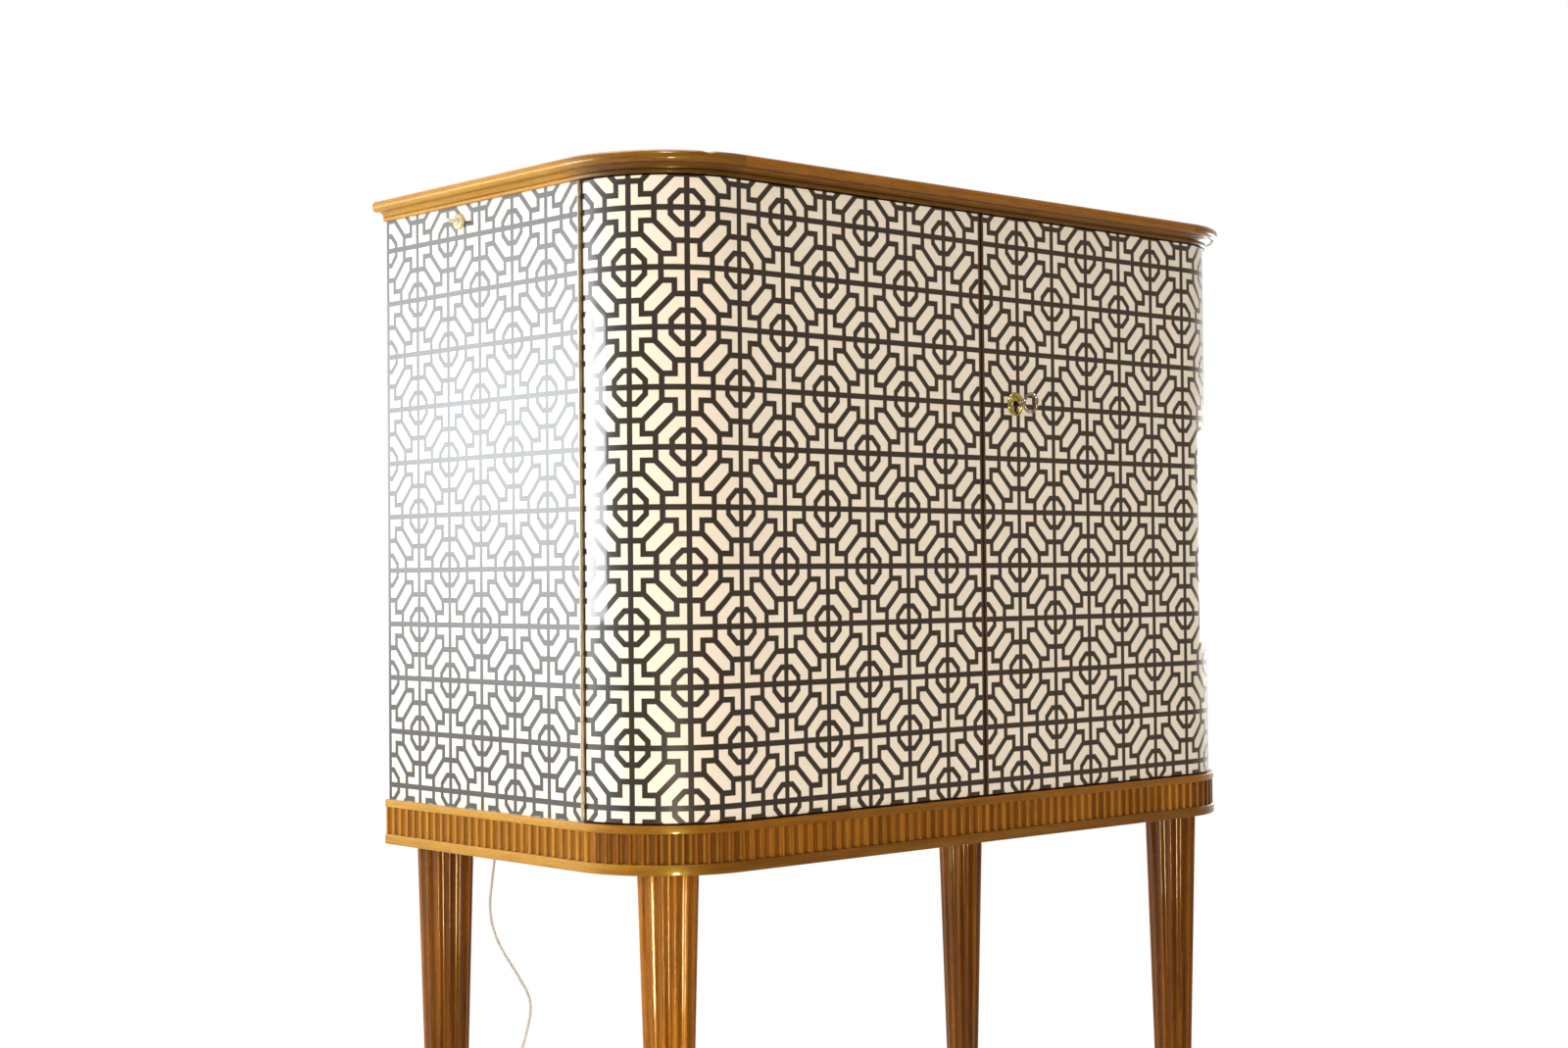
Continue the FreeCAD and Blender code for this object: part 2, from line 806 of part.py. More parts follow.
def make_switch():
    """Rotary switch: its body inside the left side, a collar and a winged knob."""
    outer = V(-half_width, switch_y, switch_z)
    body_start = -side_inner_x
    half = switch_body_size / 2
    body = box(body_start, body_start + switch_body_depth, switch_y - half, switch_y + half,
               switch_z - half, switch_z + half)
    nose_length = half_width - side_inner_x
    nose = rod(switch_nose_radius, nose_length, outer, RIGHTWARDS)
    shaft_room = rod(switch_shaft_radius + running_gap, switch_shaft_depth + running_gap + overrun,
                     outer - RIGHTWARDS * overrun, RIGHTWARDS)
    save("switch_body", joined([body, nose]).cut(shaft_room))
    collar = rod(switch_collar_radius, switch_collar_length, outer, -RIGHTWARDS)
    save("switch_collar", collar.cut(shaft_room))
    hub_x = -half_width - switch_collar_length - running_gap
    hub = rod(switch_hub_radius, switch_hub_length, V(hub_x, switch_y, switch_z), -RIGHTWARDS)
    tip_x = -half_width - switch_reach
    wing = box(tip_x, hub_x, switch_y - switch_wing_width / 2, switch_y + switch_wing_width / 2,
               switch_z - switch_wing_thickness / 2, switch_z + switch_wing_thickness / 2)
    shaft = rod(switch_shaft_radius, -half_width + switch_shaft_depth - hub_x,
                V(hub_x, switch_y, switch_z), RIGHTWARDS)
    save("switch_knob", joined([hub, wing, shaft]))


def make_lamp():
    """A tube lamp in a two-ended holder under the top."""
    half = lamp_base_width / 2
    base = box(-lamp_half_length, lamp_half_length, lamp_y - half, lamp_y + half,
               carcass_top - lamp_base_thickness, carcass_top)
    end = box(-lamp_half_length, -lamp_half_length + lamp_end_length, lamp_y - half,
              lamp_y + half, carcass_top - lamp_end_height, carcass_top)
    save("lamp_holder", joined([base, end, mirrored(end)]))
    tube_x = lamp_half_length - lamp_end_length
    save("lamp_tube", rod(lamp_tube_radius, 2 * tube_x, V(-tube_x, lamp_y, lamp_z), RIGHTWARDS))


def rounded_route(points, radius_at):
    """Straight runs joined by tangent arcs; radius_at gives the radius at a point."""
    edges = []
    radii = []
    start = points[0]
    for index in range(1, len(points) - 1):
        corner = points[index]
        back = points[index - 1] - corner
        ahead = points[index + 1] - corner
        half_turn = (math.pi - back.getAngle(ahead)) / 2
        radius = radius_at(min(back.Length, ahead.Length), half_turn)
        reach = radius * math.tan(half_turn)
        back_way = V(back).normalize()
        ahead_way = V(ahead).normalize()
        arc_start = corner + back_way * reach
        arc_end = corner + ahead_way * reach
        inward = (back_way + ahead_way).normalize()
        middle = corner + inward * (radius / math.cos(half_turn) - radius)
        edges.append(Part.LineSegment(start, arc_start).toShape())
        edges.append(Part.Arc(arc_start, middle, arc_end).toShape())
        radii.append(radius)
        start = arc_end
    edges.append(Part.LineSegment(start, points[-1]).toShape())
    return Part.Wire(edges), radii


def tube_along(route, radius):
    """A round tube along a route."""
    first = route.OrderedEdges[0]
    start = first.valueAt(first.FirstParameter)
    way = first.tangentAt(first.FirstParameter)
    ring = Part.Wire(Part.makeCircle(radius, start, way))
    return route.makePipeShell([ring], True, False)


def make_wiring():
    """The lead from the lamp to the switch, and from the switch down to the gland."""
    side_x = -side_inner_x + lead_from_side
    run_z = carcass_top - lead_below_top
    switch_front = switch_y - switch_body_size / 2
    switch_back = switch_y + switch_body_size / 2
    to_switch = [
        V(-lamp_half_length, lamp_y, run_z),
        V(side_x, lamp_y, run_z),
        V(side_x, switch_front, run_z),
    ]
    to_gland = [
        V(side_x, switch_back, run_z),
        V(side_x, gland_y, run_z),
        V(gland_x, gland_y, run_z),
        V(gland_x, gland_y, floor_top),
    ]
    leads = []
    for points in (to_switch, to_gland):
        route, radii = rounded_route(points, lambda run, half_turn: lead_turn_radius)
        leads.append(tube_along(route, lead_radius))
    save("lamp_wiring", group(leads))


def coil_end_y():
    """Where the free cord meets the coil."""
    return coil_centre_y + coil_lead


def cord_points():
    """The free cord from the gland to its coil: down, across and along the floor."""
    coil_x = coil_centre_x - coil_outer_radius
    return [
        V(gland_x, gland_y, gland_foot),
        V(-330, 226, 480),
        V(-334, 228, 441),
        V(-338, 231, 401),
        V(-330, 225, 365),
        V(-313, 209, 329),
        V(-302, 199, 301),
        V(-307, 203, 268),
        V(-315, 210, 234),
        V(-313, 209, 194),
        V(-305, 203, 155),
        V(-304, 203, 115),
        V(-311, 211, 77),
        V(-312, 216, 43),
        V(-303, 208, 15),
        V(-294, 190, cord_floor_height),
        V(coil_x, 171, cord_floor_height),
        V(coil_x, coil_end_y(), cord_floor_height),
    ]


def make_cord():
    """The free cord between the gland and the coil."""
    route, radii = rounded_route(
        cord_points(), lambda run, half_turn: cord_arc_share * run / math.tan(half_turn))
    cord = tube_along(route, cord_diameter / 2)
    expected = math.pi * (cord_diameter / 2) ** 2 * route.Length
    print("cord length", round(route.Length, 1), "radii", [round(r, 1) for r in radii])
    print("cord volume over section times length", round(cord.Volume / expected, 4))
    save("power_cord", cord)


def coil_place(turns):
    """Centre line of the coil and its direction after so many turns."""
    climb = 0.5
    period = coil_turns_per_layer + climb
    layer = min(int(turns // period), coil_layers - 1)
    along = turns - layer * period
    spiral = min(along, coil_turns_per_layer)
    rising = min(max(along - coil_turns_per_layer, 0), climb) / climb
    inward = layer % 2 == 0
    travelled = spiral if inward else coil_turns_per_layer - spiral
    radius = coil_outer_radius - coil_step * travelled
    height = cord_floor_height + coil_step * (layer + rising)
    turn = math.pi + 2 * math.pi * turns
    x = coil_centre_x + radius * math.cos(turn)
    y = coil_centre_y + radius * math.sin(turn)
    return V(x, y, height)


def coil_direction(turns, total):
    """The way that the centre line runs, level at the two ends."""
    turn = math.pi + 2 * math.pi * turns
    along = V(-math.sin(turn), math.cos(turn), 0)
    if turns <= 0 or turns >= total:
        return along
    step = 0.02
    return (coil_place(turns + step) - coil_place(turns - step)).normalize()


def bend(start, pull, end):
    """The arc from start to end whose tangents meet at pull."""
    chord_middle = (start + end) / 2
    share = (chord_middle - start).Length / (pull - start).Length
    middle = chord_middle + (pull - chord_middle) * (share / (1 + share))
    return Part.Arc(start, middle, end).toShape()


def two_bends(start, start_way, end, end_way):
    """Two arcs that leave and arrive in the given directions."""
    across = end - start
    ways = start_way + end_way
    closing = 2 * (1 - start_way.dot(end_way))
    along = across.dot(ways)
    reach = (math.sqrt(along ** 2 + closing * across.dot(across)) - along) / closing
    start_pull = start + start_way * reach
    end_pull = end - end_way * reach
    meeting = (start_pull + end_pull) / 2
    return [bend(start, start_pull, meeting), bend(meeting, end_pull, end)]


def make_coil():
    """The put-away cord, wound in four layers, with a straight tail to the plug."""
    total = coil_layers * (coil_turns_per_layer + 0.5) - 0.5
    quarters = round(total * 4)
    turns = [total * index / quarters for index in range(quarters + 1)]
    start = coil_place(0)
    finish = coil_place(total)
    lead_start = V(start.x, coil_end_y(), start.z)
    edges = [Part.LineSegment(lead_start, start).toShape()]
    for first, last in zip(turns[:-1], turns[1:]):
        edges += two_bends(coil_place(first), coil_direction(first, total),
                           coil_place(last), coil_direction(last, total))
    edges.append(Part.LineSegment(finish, finish + BACKWARDS * coil_tail).toShape())
    route = Part.Wire(edges)
    coil = tube_along(route, cord_diameter / 2)
    expected = math.pi * (cord_diameter / 2) ** 2 * route.Length
    print("coil length", round(route.Length, 1), "turns", total)
    print("coil volume over section times length", round(coil.Volume / expected, 4))
    print("least gap of the coil to itself", round(coil_gap(edges), 2))
    save("cord_coil", coil)
    return finish + BACKWARDS * coil_tail


def coil_gap(edges):
    """The least clear distance between turns, measured on points of the centre line."""
    points = []
    distance = 0
    places = []
    for edge in edges:
        count = 6
        for point in edge.discretize(count)[:-1]:
            points.append(point)
            places.append(distance)
            distance += edge.Length / (count - 1)
    nearest = min(
        (a - b).Length
        for i, a in enumerate(points)
        for j, b in enumerate(points[:i])
        if places[i] - places[j] > math.pi * coil_outer_radius)
    return nearest - cord_diameter


def make_plug(start):
    """A round two-pin plug with its boot, lying beside the coil."""
    boot = Part.makeCone(boot_tip_radius, boot_base_radius, boot_length, start, BACKWARDS)
    waist_start = start + BACKWARDS * boot_length
    neck = Part.makeCone(plug_waist_radius, plug_radius, plug_length / 2, waist_start, BACKWARDS)
    body_start = waist_start + BACKWARDS * (plug_length / 2)
    body = rod(plug_radius, plug_length / 2, body_start, BACKWARDS)
    face = body_start + BACKWARDS * (plug_length / 2)
    pieces = [boot, neck, body]
    for offset in (-plug_pin_spacing / 2, plug_pin_spacing / 2):
        pieces.append(rod(plug_pin_radius, plug_pin_length, face + RIGHTWARDS * offset, BACKWARDS))
    save("plug", joined(pieces))


def make_gland():
    """A bush in the floor board with a tapering tail that the cord leaves from."""
    middle = V(gland_x, gland_y, frieze_top)
    bush = rod(gland_hole_radius, floor_thickness, middle, UP)
    flange = rod(gland_flange_radius, gland_flange_thickness, middle, -UP)
    tail_start = middle - UP * gland_flange_thickness
    tail = Part.makeCone(gland_hole_radius, gland_tail_radius, gland_tail_length, tail_start, -UP)
    save("cord_gland", joined([bush, flange, tail]))


os.makedirs("parts", exist_ok=True)
make_top()
make_frieze()
make_legs()
make_base()
make_sides()
make_boards()
make_left_door()
make_right_door()
make_lock()
make_hinges()
make_switch()
make_lamp()
make_wiring()
make_gland()
make_cord()
make_plug(make_coil())
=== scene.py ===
import math

import bmesh
import bpy
from mathutils import Matrix, Vector


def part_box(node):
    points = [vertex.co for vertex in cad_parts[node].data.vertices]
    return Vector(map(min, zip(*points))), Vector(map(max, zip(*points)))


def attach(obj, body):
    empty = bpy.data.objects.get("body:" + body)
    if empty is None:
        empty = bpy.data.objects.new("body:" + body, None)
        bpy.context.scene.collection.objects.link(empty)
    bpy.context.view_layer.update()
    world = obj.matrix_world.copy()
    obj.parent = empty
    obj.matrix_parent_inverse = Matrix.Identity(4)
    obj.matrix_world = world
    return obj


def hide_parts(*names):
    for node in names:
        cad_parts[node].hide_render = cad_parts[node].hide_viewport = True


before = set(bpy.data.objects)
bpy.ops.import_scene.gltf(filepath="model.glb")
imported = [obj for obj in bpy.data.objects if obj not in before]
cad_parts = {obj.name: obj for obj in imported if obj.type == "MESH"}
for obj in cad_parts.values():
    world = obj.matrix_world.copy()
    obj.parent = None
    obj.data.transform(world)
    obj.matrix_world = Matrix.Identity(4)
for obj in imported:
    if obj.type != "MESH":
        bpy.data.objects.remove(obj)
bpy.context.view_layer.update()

# All sizes are in metres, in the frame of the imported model: the origin is on the floor under
# the middle of the cabinet, the doors face -Y and the keyed door is on the +X side.
# A run is a distance along the rounded outline, from the middle of the front, positive to +X.

mm = 0.001

# The camera's place, its lens in millimetres and its angles in degrees
camera_place = (-1.8190, -1.8893, 0.7699)
camera_lens = 53.09
camera_azimuth = 42.273
camera_elevation = 1.269
camera_roll = -0.485

# The cabinet's outline and heights
half_width = 455 * mm
depth_in_front = 205 * mm
depth_behind = 247 * mm
corner_radius = 106 * mm
leg_length = 485 * mm
lower_band_top = 495.5 * mm
flutes_top = 524.5 * mm
frieze_top = 532.5 * mm
door_bottom = 534.5 * mm
door_top = 1154.5 * mm
carcass_top = 1156 * mm
cabinet_top = 1176.5 * mm
front_y = -depth_in_front
back_y = depth_behind
corner_x = half_width - corner_radius
corner_y = front_y + corner_radius
corner_start = corner_x
corner_end = corner_x + corner_radius * math.pi / 2
back_run = corner_end + back_y - corner_y
outline_step = 3.4 * mm

# Runs between which the wood goes over into the paler left side, painted light where the window's
# light falls
lit_side_start = -470 * mm
lit_side_end = -560 * mm
foot_lit_start = -360 * mm
strip_lit_start = -497 * mm
strip_lit_end = -499 * mm

# Mouldings and bands
edge_inset = 8 * mm
nose_overhang = 18 * mm
nose_height = 11.5 * mm
nose_bulge = 5.2 * mm
bead_overhang = 4.5 * mm
bead_height = 4.6 * mm
bead_edge = 1.4 * mm
cove_depth = 2.2 * mm
cove_steps = 8
nose_steps = 14
nose_turn = 84
nose_roundness = 0.75
nose_height_share = 0.985
dent_run = -385 * mm
dent_depth = 1.3 * mm
dent_reach = 7 * mm
dent_inward_share = 0.4
lower_band_proud = 5.5 * mm
upper_band_proud = 5 * mm
band_edge = 0.9 * mm
ridge_proud = 4 * mm
flute_depth = 3.2 * mm
side_strip_end = 497.5 * mm
front_strip_end = 347 * mm
side_flutes = 28
corner_flutes = 12
front_flutes = 54
steps_per_flute = 12
flute_nudge_share = 0.00001

# How far apart the lengths of wood take their grain
moulding_grain_shift = 0.37
flutes_grain_shift = 0.53
band_grain_shift = 7

# Legs
leg_top_radius = 30.2 * mm
leg_foot_radius = 16.5 * mm
leg_hollow = 2.0 * mm
leg_flutes = 14
leg_ridge_share = 0.32
leg_ridge_rise = 0.9 * mm
leg_ridge_steps = 4
leg_flute_steps = 8
foot_edge = 1.2 * mm
leg_ring_shares = (0.1, 0.25, 0.4, 0.55, 0.7, 0.85, 1.0)
front_leg_inset = 66.5 * mm
front_leg_setback = 61 * mm
rear_leg_inset = 51 * mm
rear_leg_setback = 31 * mm

# Doors, skins and hinges
skin_thickness = 1 * mm
lipping_width = 3 * mm
meeting_gap = 2.8 * mm
joint_half = 1.2 * mm
hinge_x = half_width + 2.2 * mm
barrel_radius = 2.1 * mm
barrel_bore = 0.9 * mm
knuckles = 39
knuckle_pitch = (door_top - door_bottom) / knuckles
knuckle_gap = 0.5 * mm
leaf_width = 15 * mm
leaf_clearance = 0.2 * mm
leaf_screws = 14
leaf_screw_share = 0.55
back_screws = 6
screw_radius = 2.4 * mm
screw_slot = 0.5 * mm
facing_back = (math.radians(-90), 0, 0)

# The printed lattice; its shares are of the pitch
lattice_across = 57.28 * mm
lattice_down = 57.5 * mm
lattice_first_row = 1123.5 * mm
half_line_share = 0.0495
soft_edge_share = 0.005
octagon_share = 0.555
inner_octagon_share = 0.278
step_share = 0.222
step_end_share = 0.445

# Lock, key and switch
lock_x = 52 * mm
lock_z = 953.2 * mm
escutcheon_radius = 12.9 * mm
rim_radius = 2.1 * mm
dish_height = 0.8 * mm
keyhole_radius = 3.8 * mm
keyhole_half_slot = 2.3 * mm
keyhole_drop = 11 * mm
key_reach = 34 * mm
bow_half_height = 9.7 * mm
bow_half_length = 9.0 * mm
bow_wire = 1.8 * mm
shank_radius = 2.3 * mm
switch_y = 108 * mm
switch_z = 1139.8 * mm
collar_radius = 8.5 * mm
collar_length = 3.6 * mm
switch_reach = 17.5 * mm

# Bolts, mirror, lamp and its lead
thumb_from_tip = 60 * mm
mirror_bevel = 14 * mm
mirror_bevel_sink = 1.4 * mm
lamp_cap_length = 13 * mm
lead_radius = 1.3 * mm
lead_z = 1148 * mm
lead_lamp_end = -150 * mm
lead_foot = 550.5 * mm
lead_left_x = -423 * mm
lead_front_y = -143 * mm
lead_turn = 34 * mm

# Power cord
cord_diameter = 3 * mm
gland_x = -329 * mm
gland_y = 223 * mm
gland_foot = 512 * mm
cord_floor_height = 1.6 * mm
coil_x = -270 * mm
coil_y = 150 * mm
coil_outer_radius = 21.5 * mm
coil_step = 3.9 * mm
coil_layers = 4
coil_turns_per_layer = 2.5
coil_climb = 0.5
coil_turns = coil_layers * (coil_turns_per_layer + coil_climb) - coil_climb
coil_points_per_turn = 16
coil_tail = 26 * mm
plug_grip = 6 * mm

# Wood: where its three tones lie on the ramp, how fine its figure is along and across the
# grain, how much light is left in its pores and in the painted shade, and how strong that shade is
tone_shares = (0.38, 0.505, 0.65)
broad_scales = (1.6, 26)
streak_scales = (5, 150)
fibre_scales = (34, 1150)
pore_scales = (170, 1900)
pore_light_share = 0.35
painted_shade_light_share = 0.3
flutes_shade_share = 0.5
moulding_shade_share = 0.72
leg_shade_share = 0.45

# Room, as strengths of light where 1 is white
room_tint = (0.40, 0.29, 0.19)
surround_light = (0.29, 0.30, 0.32)
haze_middle = (-2.72, 2.35, 1.12)
haze_aim = (-0.455, 0.07, 0.85)
haze_size = (2.6, 1.7)
haze_level = 6.4
haze_flat_share = 0.4

# The floor's reach, how far out it keeps the shadow, and where reflections whiten, along Y
floor_reach = 30
shadow_reaches = (0.7, 1.3)
least_white_share = 0.35
floor_whitening = (-1.0, 0.8)
surround_whitening = (-0.45, 0.55)


# Node trees

class Signal:
    """A socket that gives a value; sums with it become Math nodes in its tree."""

    def __init__(self, tree, socket):
        self.tree = tree
        self.socket = socket

    def __add__(self, other):
        return self.tree.math("ADD", self, other)

    def __radd__(self, other):
        return self.tree.math("ADD", other, self)

    def __sub__(self, other):
        return self.tree.math("SUBTRACT", self, other)

    def __rsub__(self, other):
        return self.tree.math("SUBTRACT", other, self)

    def __mul__(self, other):
        return self.tree.math("MULTIPLY", self, other)

    def __rmul__(self, other):
        return self.tree.math("MULTIPLY", other, self)

    def __truediv__(self, other):
        return self.tree.math("DIVIDE", self, other)

    def __lt__(self, other):
        return self.tree.math("LESS_THAN", self, other)

    def __abs__(self):
        return self.tree.math("ABSOLUTE", self)


class Tree:
    """A node tree of a material, the surround or a modifier."""

    def __init__(self, tree):
        self.tree = tree

    def node(self, kind, settings=None, values=None, output=0):
        """Add a node with its settings, then the values or links of its sockets."""
        node = self.tree.nodes.new(kind)
        for name, setting in (settings or {}).items():
            if name == "stops":
                set_stops(node.color_ramp, setting)
            else:
                setattr(node, name, setting)
        for name, value in (values or {}).items():
            self.feed(node.inputs[name], value)
        return Signal(self, node.outputs[output])

    def feed(self, socket, value):
        """Link a signal to a socket, or set the socket to a value."""
        if isinstance(value, Signal):
            self.tree.links.new(value.socket, socket)
        else:
            socket.default_value = value

    def math(self, operation, *values):
        """One Math node."""
        return self.node("ShaderNodeMath", {"operation": operation}, dict(enumerate(values)))

    def vector(self, x, y, z):
        """A vector of three values."""
        return self.node("ShaderNodeCombineXYZ", {}, {0: x, 1: y, 2: z})

    def blend(self, share, first, second):
        """One colour going over into another."""
        return self.node("ShaderNodeMix", {"data_type": "RGBA"},
                         {0: share, 6: first, 7: second}, 2)

    def between(self, value, low, high, start=0.0, end=1.0):
        """A smooth step of a value from low to high."""
        return self.node("ShaderNodeMapRange", {"interpolation_type": "SMOOTHSTEP"}, {
            "Value": value, "From Min": low, "From Max": high, "To Min": start, "To Max": end})

    def parts(self, vector):
        """The three values of a vector."""
        first = self.node("ShaderNodeSeparateXYZ", {}, {0: vector})
        outputs = first.socket.node.outputs
        return first, Signal(self, outputs[1]), Signal(self, outputs[2])


def set_stops(ramp, stops):
    """Give a colour ramp its stops: (place, colour) pairs."""
    while len(ramp.elements) < len(stops):
        ramp.elements.new(1)
    for element, (place, colour) in zip(ramp.elements, stops):
        element.position = place
        element.color = (*colour, 1)


class Finish(Tree):
    """A material with one Principled shader."""

    def __init__(self, name, **constants):
        self.material = bpy.data.materials.new(name)
        self.material.use_nodes = True
        super().__init__(self.material.node_tree)
        self.shader = self.tree.nodes["Principled BSDF"]
        for socket, value in constants.items():
            self.give(socket.replace("_", " "), value)

    def give(self, socket, value):
        """Set or link one socket of the shader."""
        self.feed(self.shader.inputs[socket], value)

    def object_place(self):
        """The point's place in the object's own frame."""
        return self.node("ShaderNodeTexCoord", output="Object")

    def kept(self, name, output):
        """What is kept on the mesh under a name."""
        return self.node("ShaderNodeAttribute", {"attribute_name": name}, output=output)

    def run_place(self):
        """The point's run, its distance out and its height."""
        return self.kept("run_place", "Vector")

    def outward(self):
        """The point's distance out from the body's face."""
        return self.kept("outward", "Fac")

    def hollow(self):
        """How deep a point of a leg lies in a flute: 0 on a ridge, 1 in the middle of a flute."""
        return self.kept("hollow", "Fac")

    def stretched(self, place, scales):
        """The place scaled along each axis."""
        return self.node("ShaderNodeMapping", {}, {"Vector": place, "Scale": scales})

    def grained(self, place, grain, along, across):
        """The place scaled by one number along the grain and another across it."""
        return self.stretched(place, [along if axis == grain else across for axis in "xyz"])

    def noise(self, place, scale, detail=2.0, roughness=0.5, distortion=0.0):
        """Noise from 0 to 1."""
        return self.node("ShaderNodeTexNoise", {}, {
            "Vector": place, "Scale": scale, "Detail": detail,
            "Roughness": roughness, "Distortion": distortion})

    def colours(self, value, stops):
        """A colour ramp."""
        return self.node("ShaderNodeValToRGB", {"stops": stops}, {0: value})

    def relief(self, height, distance, strength):
        """Raise and lower the surface by a height between 0 and 1."""
        self.give("Normal", self.node("ShaderNodeBump", {}, {
            "Height": height, "Distance": distance, "Strength": strength}))


def rgba(red, green, blue):
    """A colour from its linear parts."""
    return (red, green, blue, 1)


def shaded(colour, share):
    """A colour brought down to a share of its light."""
    return rgba(*(part * share for part in colour))


# Finishes

def wood(name, place_of, grain, tones, coat, flecks=0.5, figure=1.0, shine=0.26, faded=None,
         fading=None, painted_shade=None, **constants):
    """Straight-grained wood; tones are its dark, middle and light colours.

    Paler tones take over between two runs on the left side, as painted light where the window's
    light falls. Painted shade gives the share of darkening at a place, in hollows and under the
    nose.
    """
    finish = Finish(name, Coat_Weight=coat, Coat_Roughness=0.06, Coat_IOR=1.5, **constants)
    place = place_of(finish)
    broad = finish.noise(finish.grained(place, grain, *broad_scales), 1.0, 3.0, 0.55, 0.6)
    streak = finish.noise(finish.grained(place, grain, *streak_scales), 1.0, 3.0, 0.6, 0.25)
    fibre = finish.noise(finish.grained(place, grain, *fibre_scales), 1.0, 2.0, 0.5)
    pores = finish.noise(finish.grained(place, grain, *pore_scales), 1.0, 1.0, 0.5)
    pore = finish.between(pores, 0.60, 0.70)
    tone = (broad * 0.55 + streak * 0.5) * figure + fibre * 0.25 + (0.38 - 0.525 * figure)
    dark = tones[0]
    colour = finish.colours(tone, list(zip(tone_shares, tones)))
    if faded:
        pale = finish.colours(tone, list(zip(tone_shares, faded)))
        run = finish.parts(place)[0]
        colour = finish.blend(finish.between(run, *fading), colour, pale)
    if painted_shade:
        colour = finish.blend(painted_shade(finish), colour, shaded(dark, painted_shade_light_share))
    colour = finish.blend(pore * flecks, colour, shaded(dark, pore_light_share))
    finish.give("Base Color", colour)
    finish.give("Roughness", shine + fibre * 0.16 + pore * 0.1)
    finish.relief(fibre * 0.4 - pore * 0.6, 0.12 * mm, 0.5)
    return finish.material


def flute_painted_shade(finish):
    """Painted shade in the hollows between the ridges."""
    sunk = finish.between(finish.outward(), ridge_proud, ridge_proud - 1.4 * mm)
    return sunk * flutes_shade_share


def bead_painted_shade(finish):
    """Painted shade on the bead and in the cove under the nose, but for the lit left side."""
    run, _, height = finish.parts(finish.run_place())
    nose_low = cabinet_top - nose_height
    dark = finish.between(height, nose_low + 3 * mm, carcass_top + bead_height)
    return dark * finish.between(run, lit_side_end, lit_side_start) * moulding_shade_share


def leg_painted_shade(finish):
    """Painted shade in the flutes of a leg."""
    return finish.between(finish.hollow(), 0.1, 0.9) * leg_shade_share


golden_glow = {"Specular_IOR_Level": 0.5, "Specular_Tint": rgba(1.0, 0.74, 0.14)}
amber_glow = {"Specular_IOR_Level": 0.35, "Specular_Tint": rgba(1.0, 0.58, 0.16)}
tawny_glow = {"Specular_IOR_Level": 0.5, "Specular_Tint": rgba(1.0, 0.58, 0.12)}
tawny = ((0.145, 0.038, 0.002), (0.270, 0.081, 0.004), (0.43, 0.150, 0.010))
sepia = ((0.105, 0.026, 0.002), (0.200, 0.056, 0.004), (0.33, 0.108, 0.009))
golden = ((0.130, 0.040, 0.003), (0.240, 0.082, 0.006), (0.38, 0.150, 0.014))
chestnut = ((0.080, 0.024, 0.002), (0.150, 0.050, 0.004), (0.25, 0.095, 0.009))
amber = ((0.17, 0.046, 0.002), (0.33, 0.104, 0.003), (0.48, 0.175, 0.008))
umber = ((0.080, 0.018, 0.001), (0.172, 0.047, 0.001), (0.29, 0.090, 0.003))
ochre = ((0.22, 0.068, 0.002), (0.39, 0.136, 0.004), (0.54, 0.220, 0.010))
straw = ((0.24, 0.095, 0.005), (0.40, 0.180, 0.012), (0.54, 0.285, 0.028))
gap_shade_russet = ((0.030, 0.011, 0.005), (0.066, 0.027, 0.012), (0.105, 0.046, 0.022))
honey = ((0.25, 0.12, 0.035), (0.45, 0.25, 0.09), (0.60, 0.38, 0.16))
pine = ((0.42, 0.26, 0.11), (0.60, 0.41, 0.20), (0.72, 0.54, 0.31))
birch = ((0.50, 0.35, 0.19), (0.66, 0.50, 0.31), (0.76, 0.62, 0.43))


def printed_lattice():
    """A dark lattice of octagons and crosses printed on cream, under clear lacquer."""
    finish = Finish("printed_lattice", Coat_Weight=1.0, Coat_Roughness=0.03, Coat_IOR=1.52,
                    Specular_IOR_Level=0.4)
    place = finish.run_place()
    run, _, height = finish.parts(place)
    across = abs(run) / lattice_across
    down = (lattice_first_row - height) / lattice_down
    column = finish.math("ROUND", across)
    row = finish.math("ROUND", down)
    octagon_here = finish.math("FLOORED_MODULO", column + row, 2.0)
    off_column = abs(across - column)
    off_row = abs(down - row)
    far = finish.math("MAXIMUM", off_column, off_row)
    near = finish.math("MINIMUM", off_column, off_row)
    axial = far * octagon_here + (1 - far) * (1 - octagon_here)
    slanted = (axial + near) * math.sqrt(0.5)
    reach = finish.math("MAXIMUM", finish.math("MAXIMUM", axial, near), slanted)
    ink = lattice_line(finish, near)
    ink = finish.math("MAXIMUM", ink, lattice_line(finish, reach - octagon_share))
    ink = finish.math("MAXIMUM", ink, lattice_line(finish, reach - inner_octagon_share))
    step = lattice_line(finish, near - step_share) * (far < step_end_share)
    step = step * (1 - octagon_here)
    ink = finish.math("MAXIMUM", ink, step)
    cloud = finish.noise(place, 14, 3.0, 0.6)
    cream = finish.blend(cloud, rgba(0.79, 0.665, 0.505), rgba(0.85, 0.725, 0.565))
    dark = finish.blend(cloud, rgba(0.011, 0.0075, 0.0055), rgba(0.019, 0.013, 0.010))
    finish.give("Base Color", finish.blend(ink, cream, dark))
    ripple = finish.noise(place, 260, 2.0, 0.5)
    finish.give("Roughness", 0.30 + cloud * 0.12)
    finish.relief(ripple, 0.02 * mm, 0.25)
    return finish.material


def lattice_line(finish, distance):
    """Ink where a distance from a line's middle is under half its width."""
    return finish.between(abs(distance), half_line_share + soft_edge_share,
                          half_line_share - soft_edge_share)


def sheet_edge():
    """The brown cut edge of the printed sheet."""
    finish = Finish("sheet_edge")
    layers = finish.noise(finish.object_place(), 900, 2.0)
    finish.give("Base Color", finish.blend(layers, rgba(0.035, 0.018, 0.009),
                                           rgba(0.08, 0.045, 0.022)))
    finish.give("Roughness", 0.55 + layers * 0.2)
    return finish.material


